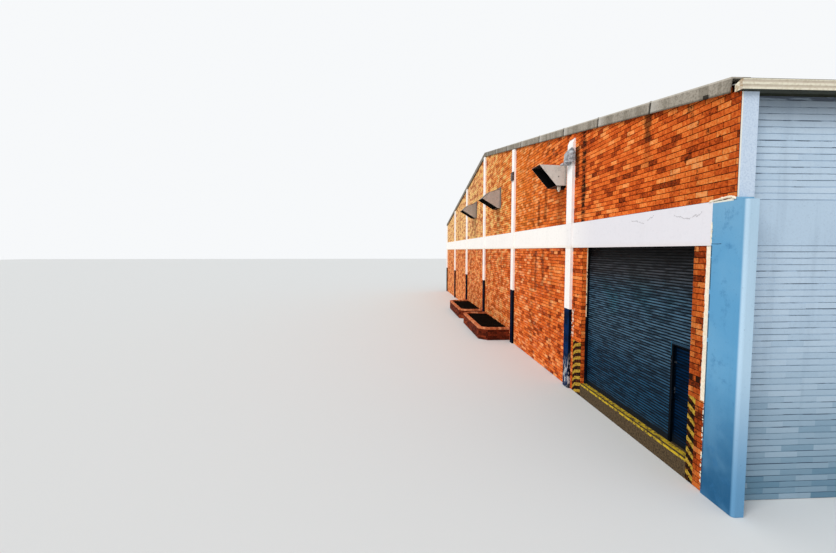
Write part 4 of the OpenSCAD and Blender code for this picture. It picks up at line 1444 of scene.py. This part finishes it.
roll_low, roll_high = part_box("shutter_roll")
roll_middle = Vector((roll_high.y - ROLL_ROOM, (roll_low.z + roll_high.z) / 2))
top_end = Vector((LATH_LINE + LATH_SKIN, lower_high.z + LATHS_ABOVE_WICKET * LATH - LEAD_DROP))
gap = top_end - roll_middle
bearing = math.atan2(gap.y, gap.x) - math.acos(ROLL_RADIUS / gap.length)
outward = Vector((math.cos(bearing), math.sin(bearing)))
lead = [
    top_end - Vector((LATH_SKIN, 0)), top_end,
    roll_middle + outward * ROLL_RADIUS, roll_middle + outward * (ROLL_RADIUS + LATH_SKIN),
]
lead_mesh = plain("curtain_lead", prism(lead, curtain_low.x + LEAD_IN, curtain_high.x - LEAD_IN))
piece("curtain_lead", lead_mesh, SHUTTER_BLUE)
print("lead", round((top_end - roll_middle - outward * ROLL_RADIUS).length, 3), "m long")

# %% [markdown]
# The wicket's leaf is a panel between stiles. The skin that shows on its front is the same lath as the
# curtain's, but shallower and without a hook, because it lies on the panel and hangs from nothing. Its
# laths are counted down from the top rail, and a plain plate fills what is left above the bottom rail.

# %% Skin of the wicket
STILE = 0.034
HINGE_POST = 0.038
LEAF_GAP = 0.007
WICKET_HEAD = 0.060
LEAF_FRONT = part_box("wicket_frame")[0].y + 0.038
LEAF_BULGE = 0.007
LEAF_LATHS = 30
SKIN_BACK = 0.0004
KICK_DEPTH = 0.004

panel_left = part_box("wicket_door")[0].x + STILE
panel_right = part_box("wicket_frame")[1].x - HINGE_POST - LEAF_GAP - STILE
panel_top = lower_high.z - WICKET_HEAD - LEAF_GAP - STILE
panel_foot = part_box("wicket_door")[0].z + STILE
skin_line = LEAF_FRONT + 0.0005 + LEAF_BULGE
skin_front = list(reversed(lath_arc(LEAF_BULGE))) + [(0.0, -LATH / 2)]
skin_shape = prism(skin_front + [(SKIN_BACK, -LATH / 2), (SKIN_BACK, LATH / 2)], -0.5, 0.5)
first_foot = panel_top - LEAF_LATHS * LATH
skins = stack(panel_left, panel_right, skin_line, first_foot, LEAF_LATHS)
piece("leaf_laths", repeat("leaf_laths", skin_shape, skins), LEAF_BLUE, "wicket")
print("leaf laths", len(skins), "over a plate of", round(first_foot - panel_foot, 3), "m")

# %% [markdown]
# ## Small metalwork
# Straps, flanges, plates and brackets are all blocks with a fine bevel. One function takes a list of
# corner pairs and returns a joined mesh, so each group of hardware is a short list of sizes.
# Screw heads are six-sided cones without a base, repeated like the bricks.

# %% Blocks and screws
def blocks(name, pairs, edge=0.001):
    """Bevelled blocks, joined. Each pair is (low corner, high corner)."""
    shape = bmesh.new()
    for low, high in pairs:
        made = bmesh.ops.create_cube(shape, size=1.0)["verts"]
        size = [b - a for a, b in zip(low, high)]
        middle = [(a + b) / 2 for a, b in zip(low, high)]
        bmesh.ops.scale(shape, vec=size, verts=made)
        bmesh.ops.translate(shape, vec=middle, verts=made)
    soften(shape, shape.edges[:], edge)
    return plain(name, shape)


def screw_head(radius, height):
    """A hexagon head that stands up along Z from z = 0, without a base."""
    shape = bmesh.new()
    bmesh.ops.create_cone(
        shape, cap_ends=True, segments=6, radius1=radius, radius2=radius * 0.8, depth=height)
    bmesh.ops.translate(shape, vec=(0, 0, height / 2), verts=shape.verts)
    base = [face for face in shape.faces if face.normal.z < -0.5]
    bmesh.ops.delete(shape, geom=base, context="FACES_ONLY")
    shape.verts.index_update()
    return shape


wall_screw = screw_head(radius=0.009, height=0.006)
roof_screw = screw_head(radius=0.012, height=0.009)
print("faces of a screw head", len(wall_screw.faces))

# %% [markdown]
# ### Hoods
# Each hood is screwed to the brick through a flange, and a strap holds its side plates at the wall.

# %% Hood flanges
FLANGE = 0.055
FLANGE_BACK, FLANGE_FRONT = -0.008, -0.012
SCREWS_A_SIDE = 4
SCREW_INSET = 0.06
SMALL_HOOD_FLOOR = 0.09
flanges = []
heads = []
for low, high in hoods:
    floor_z = low.z + (SMALL_HOOD_FLOOR if low.x > SMALL_HOOD_FROM else 0.0)
    left, right = low.x - FLANGE, high.x + FLANGE
    flanges += [
        ((low.x - SIDE_PLATE, -FLANGE, floor_z), (low.x, 0.0, high.z)),
        ((high.x, -FLANGE, floor_z), (high.x + SIDE_PLATE, 0.0, high.z)),
        ((left, FLANGE_FRONT, floor_z), (low.x, FLANGE_BACK, high.z)),
        ((high.x, FLANGE_FRONT, floor_z), (right, FLANGE_BACK, high.z)),
        ((left, FLANGE_FRONT, high.z), (right, FLANGE_BACK, high.z + FLANGE)),
    ]
    for x in (low.x - FLANGE / 2, high.x + FLANGE / 2):
        for step in range(SCREWS_A_SIDE):
            share = step / (SCREWS_A_SIDE - 1)
            z = floor_z + SCREW_INSET + share * (high.z - floor_z - 2 * SCREW_INSET)
            heads.append(((x, z, -FLANGE_FRONT), 0.0, 0.0))
drain = [((9.435, -0.165, 5.035), (9.505, -0.095, 5.125)), ((9.45, -0.15, 4.99), (9.49, -0.11, 5.035))]
bolts = [((9.612, -0.21, 5.345), (9.622, -0.19, 5.365)), ((9.612, -0.05, 5.59), (9.62, -0.035, 5.605))]
to_front = Matrix.Rotation(math.radians(90), 4, "X")
screws = repeat("hood_screws", wall_screw, heads, to_front)
piece("hood_bolts", blocks("hood_bolts", bolts), DARK_IRON)
piece("hood_drain", blocks("hood_drain", drain, 0.004), WHITE_MORTAR)
piece("hood_flanges", blocks("hood_flanges", flanges), HOOD_ZINC)
piece("hood_screws", screws, DARK_IRON)
print("flanges", len(flanges), "screws", len(heads))

# %% [markdown]
# ### Verge and roof fixings
# The cement verge pieces are screwed near their lower edge. The roof sheets are screwed through every
# rib into every purlin, which draws the lines that one sees across such a roof.

# %% Verge and roof screws
VERGE_SCREWS = 16
FIRST_SCREW = 0.85
VERGE_END = 14.8
VERGE_FRONT = 0.065
SCREW_DROP = 0.15
RIB_PITCH = 0.343
RIB_CREST = 0.775
RIBS = 59
SHEET_OVER = 0.03
SHEET_EDGE = 0.25
CREST_HEIGHT = -0.0536
FIRST_PURLIN = 0.18
PURLIN_PITCH = 1.75
PURLINS = 9

verge_heads = []
for side in (-1, 1):
    for index in range(VERGE_SCREWS):
        x = side * (FIRST_SCREW + index * VERGE_PIECE / 2) * math.cos(PITCH)
        if abs(x) < VERGE_END:
            verge_heads.append(((x, ROOF_APEX - ROOF_FALL * abs(x) - SCREW_DROP, VERGE_FRONT), 0.0, 0.0))
screws = repeat("verge_screws", wall_screw, verge_heads, to_front)
piece("verge_screws", screws, VERGE_CEMENT)

down_slope = Matrix.Translation((0, 0, ROOF_APEX)) @ Matrix.Rotation(PITCH, 4, "Y")
crests = [(number + RIB_CREST) * RIB_PITCH - SHEET_OVER for number in range(RIBS)]
crests = [y for y in crests if SHEET_EDGE < y < DEPTH - SHEET_EDGE]
for side, turn in (("near", down_slope), ("far", turned(180, 0, DEPTH) @ down_slope)):
    rows = []
    for purlin in range(PURLINS):
        for y in crests:
            across = y if side == "near" else DEPTH - y
            rows.append(((FIRST_PURLIN + purlin * PURLIN_PITCH, across, CREST_HEIGHT), 0.0, 0.0))
    name = f"roof_screws_{side}"
    piece(name, repeat(name, roof_screw, rows, turn), ROLL_STEEL)
print("verge screws", len(verge_heads), "roof screws", 2 * len(rows))

# %% [markdown]
# ### Gutter, guides and wicket hardware
# Straps tie the gutter's lip back to the board. The wicket carries a slide bolt and a lock plate; they
# ride with the leaf, while the bolt's keeper stays on the frame.

# %% Gutter straps and wicket hardware
STRAPS = 20
STRAP_WIDTH = 0.025
gutter_low, gutter_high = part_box("gutter_near")
straps = []
for number in range(STRAPS):
    y = 0.5 + number
    for side in (1, -1):
        ends = sorted((side * (gutter_low.x - 0.015), side * (gutter_high.x - 0.012)))
        low = (ends[0], y, gutter_high.z - 0.004)
        straps.append((low, (ends[1], y + STRAP_WIDTH, gutter_high.z + 0.001)))
piece("gutter_straps", blocks("gutter_straps", straps), GUTTER_ENAMEL)

leaf_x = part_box("wicket_door")[0].x
frame_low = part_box("wicket_frame")[0]
lock = [
    ((leaf_x + 0.004, LEAF_FRONT - 0.003, 1.13), (leaf_x + 0.030, LEAF_FRONT, 1.23)),
    ((leaf_x + 0.010, LEAF_FRONT - 0.010, 1.17), (leaf_x + 0.024, LEAF_FRONT - 0.003, 1.19)),
    ((leaf_x + 0.001, LEAF_FRONT - 0.005, 1.632), (leaf_x + 0.05, LEAF_FRONT, 1.662)),
    ((leaf_x + 0.003, LEAF_FRONT - 0.016, 1.642), (leaf_x + 0.046, LEAF_FRONT - 0.005, 1.653)),
    ((leaf_x + 0.03, LEAF_FRONT - 0.030, 1.643), (leaf_x + 0.038, LEAF_FRONT - 0.016, 1.651)),
]
keeper = [
    ((frame_low.x + 0.012, frame_low.y - 0.003, 1.63), (frame_low.x + 0.036, frame_low.y, 1.67)),
    ((frame_low.x + 0.016, frame_low.y - 0.014, 1.64), (frame_low.x + 0.032, frame_low.y - 0.003, 1.66)),
]
kick = [((panel_left, skin_line - KICK_DEPTH, panel_foot), (panel_right, skin_line, first_foot))]
piece("wicket_lock", blocks("wicket_lock", lock), LOCK_STEEL, "wicket")
piece("bolt_keeper", blocks("bolt_keeper", keeper), LOCK_STEEL)
piece("kick_plate", blocks("kick_plate", kick), LEAF_BLUE, "wicket")
print("straps", len(straps), "wicket pieces", len(lock) + len(keeper))

# %% [markdown]
# ## Mortar squeezed out by hand
# A thick bead of white mortar runs along the top of the blue pier and down the broken end of the tie
# beam. It is made of rings of points, each square to the path, and faces join every ring to the next.
# Noise with a fixed position moves the points in and out, so the lumps are the same each time.

# %% Mortar beads
RING = 8
BEAD_STEP = 0.012
BEAD_TAPER = 3
SWELL = 0.7
ROUGHNESS = 0.35


def bead_rings(stops, radius):
    """Centre, direction and radius of each ring along the stops, thinner at both ends."""
    centres = []
    for start, end in zip(stops, stops[1:]):
        count = max(2, round((end - start).length / BEAD_STEP))
        centres += [start.lerp(end, index / count) for index in range(count)]
    centres.append(stops[-1])
    last = len(centres) - 1
    rings = []
    for number, centre in enumerate(centres):
        ahead = centres[min(number + 1, last)] - centres[max(number - 1, 0)]
        taper = min(1.0, (number + 0.4) / BEAD_TAPER, (last - number + 0.4) / BEAD_TAPER)
        swell = radius * (1.0 + SWELL * noise.noise(centre * 31.0))
        rings.append((centre, ahead.to_track_quat("Z", "Y"), swell * taper))
    return rings


def bead(name, stops, radius):
    """A lumpy tube through the stops."""
    shape = bmesh.new()
    rings = []
    for centre, square, wide in bead_rings(stops, radius):
        ring = []
        for index in range(RING):
            angle = 2 * math.pi * index / RING
            rough = wide * (1.0 + ROUGHNESS * noise.noise(centre * 90.0 + Vector((index, 0, 0))))
            spoke = Vector((math.cos(angle), math.sin(angle), 0)) * rough
            ring.append(shape.verts.new(centre + square @ spoke))
        rings.append(ring)
    for ring, following in zip(rings, rings[1:]):
        for index in range(RING):
            shape.faces.new((ring[index - 1], ring[index], following[index], following[index - 1]))
    shape.faces.new(rings[0][::-1])
    shape.faces.new(rings[-1])
    return plain(name, shape, smooth=True)


def along_pier(*stops):
    """Stops given from the pier's left edge."""
    return [Vector((PIER_EDGE + x, y, z)) for x, y, z in stops]


crown = along_pier(
    (-0.07, -0.033, 4.124), (-0.01, -0.030, 4.142), (0.11, -0.024, 4.152), (0.24, -0.022, 4.164),
    (0.31, -0.024, 4.160), (0.35, -0.028, 4.146), (0.39, -0.033, 4.122))
beam_end = along_pier(
    (0.002, -0.033, 3.86), (0.008, -0.034, 3.74), (0.001, -0.033, 3.64), (0.004, -0.032, 3.545))
for name, stops, radius in (("pier_fillet", crown, 0.015), ("beam_end_mortar", beam_end, 0.010)):
    mesh = bead(name, stops, radius)
    piece(name, mesh, WHITE_MORTAR)
    print(name, len(mesh.vertices) // RING, "rings")

# %% [markdown]
# Below the beam a thin coat of the same mortar closes the gap between the brick jamb and the pier. Its
# free edge has broken off, which a narrow grid shows once its left column is moved by noise. Two bricks
# are left standing on the head of the short pilaster.

# %% Mortar beside the pier, and a brick stub
STRIP_STEP = 0.02
STRIP_LEFT = 14.535
STRIP_BOTTOM = 1.32
STRIP_Y = -0.011
BITE = 0.010
STUB_TONE = 0.7


def ragged_strip(name, left, right, bottom, top, y):
    """A thin coat of mortar against the pier, its free edge broken off unevenly."""
    rows = round((top - bottom) / STRIP_STEP)
    shape = bmesh.new()
    bmesh.ops.create_grid(shape, x_segments=2, y_segments=rows, size=0.5)
    for vert in shape.verts:
        z = bottom + (top - bottom) * (vert.co.y + 0.5)
        bite = noise.noise(Vector((0.0, 1.7, z * 7.0))) + noise.noise(Vector((3.1, 0.0, z * 31.0)))
        edge = left + BITE * bite
        columns = ((edge, y + 0.004, z), (edge + 0.006, y, z), (right, y - 0.002, z))
        vert.co = columns[round(2 * (vert.co.x + 0.5))]
    return plain(name, shape)


strip = ragged_strip("jamb_fillet", STRIP_LEFT, PIER_EDGE, STRIP_BOTTOM, BEAM_BOTTOM, STRIP_Y)
piece("jamb_fillet", strip, WHITE_MORTAR)
head_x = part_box("pilaster_a")[0].x
head_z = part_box("pilaster_a")[1].z
stub = [
    ((head_x + 0.05, -0.055, head_z + 0.004), (head_x + 0.26, 0.0, head_z + 0.074)),
    ((head_x + 0.12, -0.035, head_z + 0.082), (head_x + 0.30, 0.0, head_z + 0.150)),
]
stub_mesh = blocks("brick_stub", stub, 0.006)
tones = stub_mesh.attributes.new("tone", "FLOAT", "POINT")
tones.data.foreach_set("value", [STUB_TONE] * len(stub_mesh.vertices))
piece("brick_stub", stub_mesh, FRONT_BRICK)
print("strip rows", round((BEAM_BOTTOM - STRIP_BOTTOM) / STRIP_STEP), "stub bricks", len(stub))

# %% [markdown]
# ## Light and stage
# A pale floor and an even sky light the building. Vertical walls under an even sky show little form,
# so one broad sun from the camera's right adds a soft shade side. Rays that go straight from the
# camera to the sky see white instead of the lighting colour, and so do reflections.

# %% Sky
SKY_LEVEL = 0.72
SKY_LIGHT = (0.94, 0.97, 1.0, 1.0)
SKY_SEEN = (0.93, 0.945, 0.96, 1.0)

world = bpy.data.worlds.new("sky")
bpy.context.scene.world = world
world.use_nodes = True
sky = world.node_tree
sky.nodes.clear()
rays = sky.nodes.new("ShaderNodeLightPath")
lighting = sky.nodes.new("ShaderNodeBackground")
lighting.inputs["Color"].default_value = SKY_LIGHT
lighting.inputs["Strength"].default_value = SKY_LEVEL
seen = sky.nodes.new("ShaderNodeBackground")
seen.inputs["Color"].default_value = SKY_SEEN
direct = rays.outputs["Is Camera Ray"]
for kind in ("Is Glossy Ray", "Is Transmission Ray"):
    either = sky.nodes.new("ShaderNodeMath")
    either.operation = "MAXIMUM"
    sky.links.new(direct, either.inputs[0])
    sky.links.new(rays.outputs[kind], either.inputs[1])
    direct = either.outputs[0]
blend = sky.nodes.new("ShaderNodeMixShader")
output = sky.nodes.new("ShaderNodeOutputWorld")
sky.links.new(direct, blend.inputs[0])
sky.links.new(lighting.outputs[0], blend.inputs[1])
sky.links.new(seen.outputs[0], blend.inputs[2])
sky.links.new(blend.outputs[0], output.inputs["Surface"])
print("sky nodes", len(sky.nodes))

# %% [markdown]
# The sun is wide, so that its shadows have soft edges. The floor is one large square.

# %% Sun and floor
SUN_LEVEL = 1.5
SUN_WIDTH = math.radians(25)
SUN_ALONG = Vector((-0.5, 0.72, -0.62))
FLOOR_SIZE = 300.0
FLOOR_DROP = 0.002

sun = bpy.data.lights.new("sun", "SUN")
sun.energy = SUN_LEVEL
sun.angle = SUN_WIDTH
sun_object = bpy.data.objects.new("sun", sun)
sun_object.rotation_mode = "QUATERNION"
sun_object.rotation_quaternion = SUN_ALONG.to_track_quat("-Z", "Y")
bpy.context.scene.collection.objects.link(sun_object)

ground = bmesh.new()
bmesh.ops.create_grid(ground, x_segments=1, y_segments=1, size=FLOOR_SIZE / 2)
bmesh.ops.translate(ground, vec=(0, 0, -FLOOR_DROP), verts=ground.verts)
floor_mesh = plain("floor", ground)
floor_mesh.materials.append(Finish("stage_floor").done(colour(226, 226, 224), 0.9))
floor = bpy.data.objects.new("floor", floor_mesh)
bpy.context.scene.collection.objects.link(floor)
bpy.context.scene.view_settings.view_transform = "Standard"
print("light and stage ready")

# %% [markdown]
# ## Sizes and finish
# The last cell counts the triangles that were added and names the largest piece. Planter bricks
# stand about a centimetre proud of their solid at the front.

# %% Sizes and finish
triangles = {}
for thing in bpy.context.scene.objects:
    if thing.type == "MESH" and thing.name not in nodes and thing is not floor:
        thing.data.calc_loop_triangles()
        triangles[thing.name] = len(thing.data.loop_triangles)
largest = max(triangles, key=triangles.get)
print("added triangles", sum(triangles.values()), "largest", largest, triangles[largest])
bpy.context.view_layer.update()
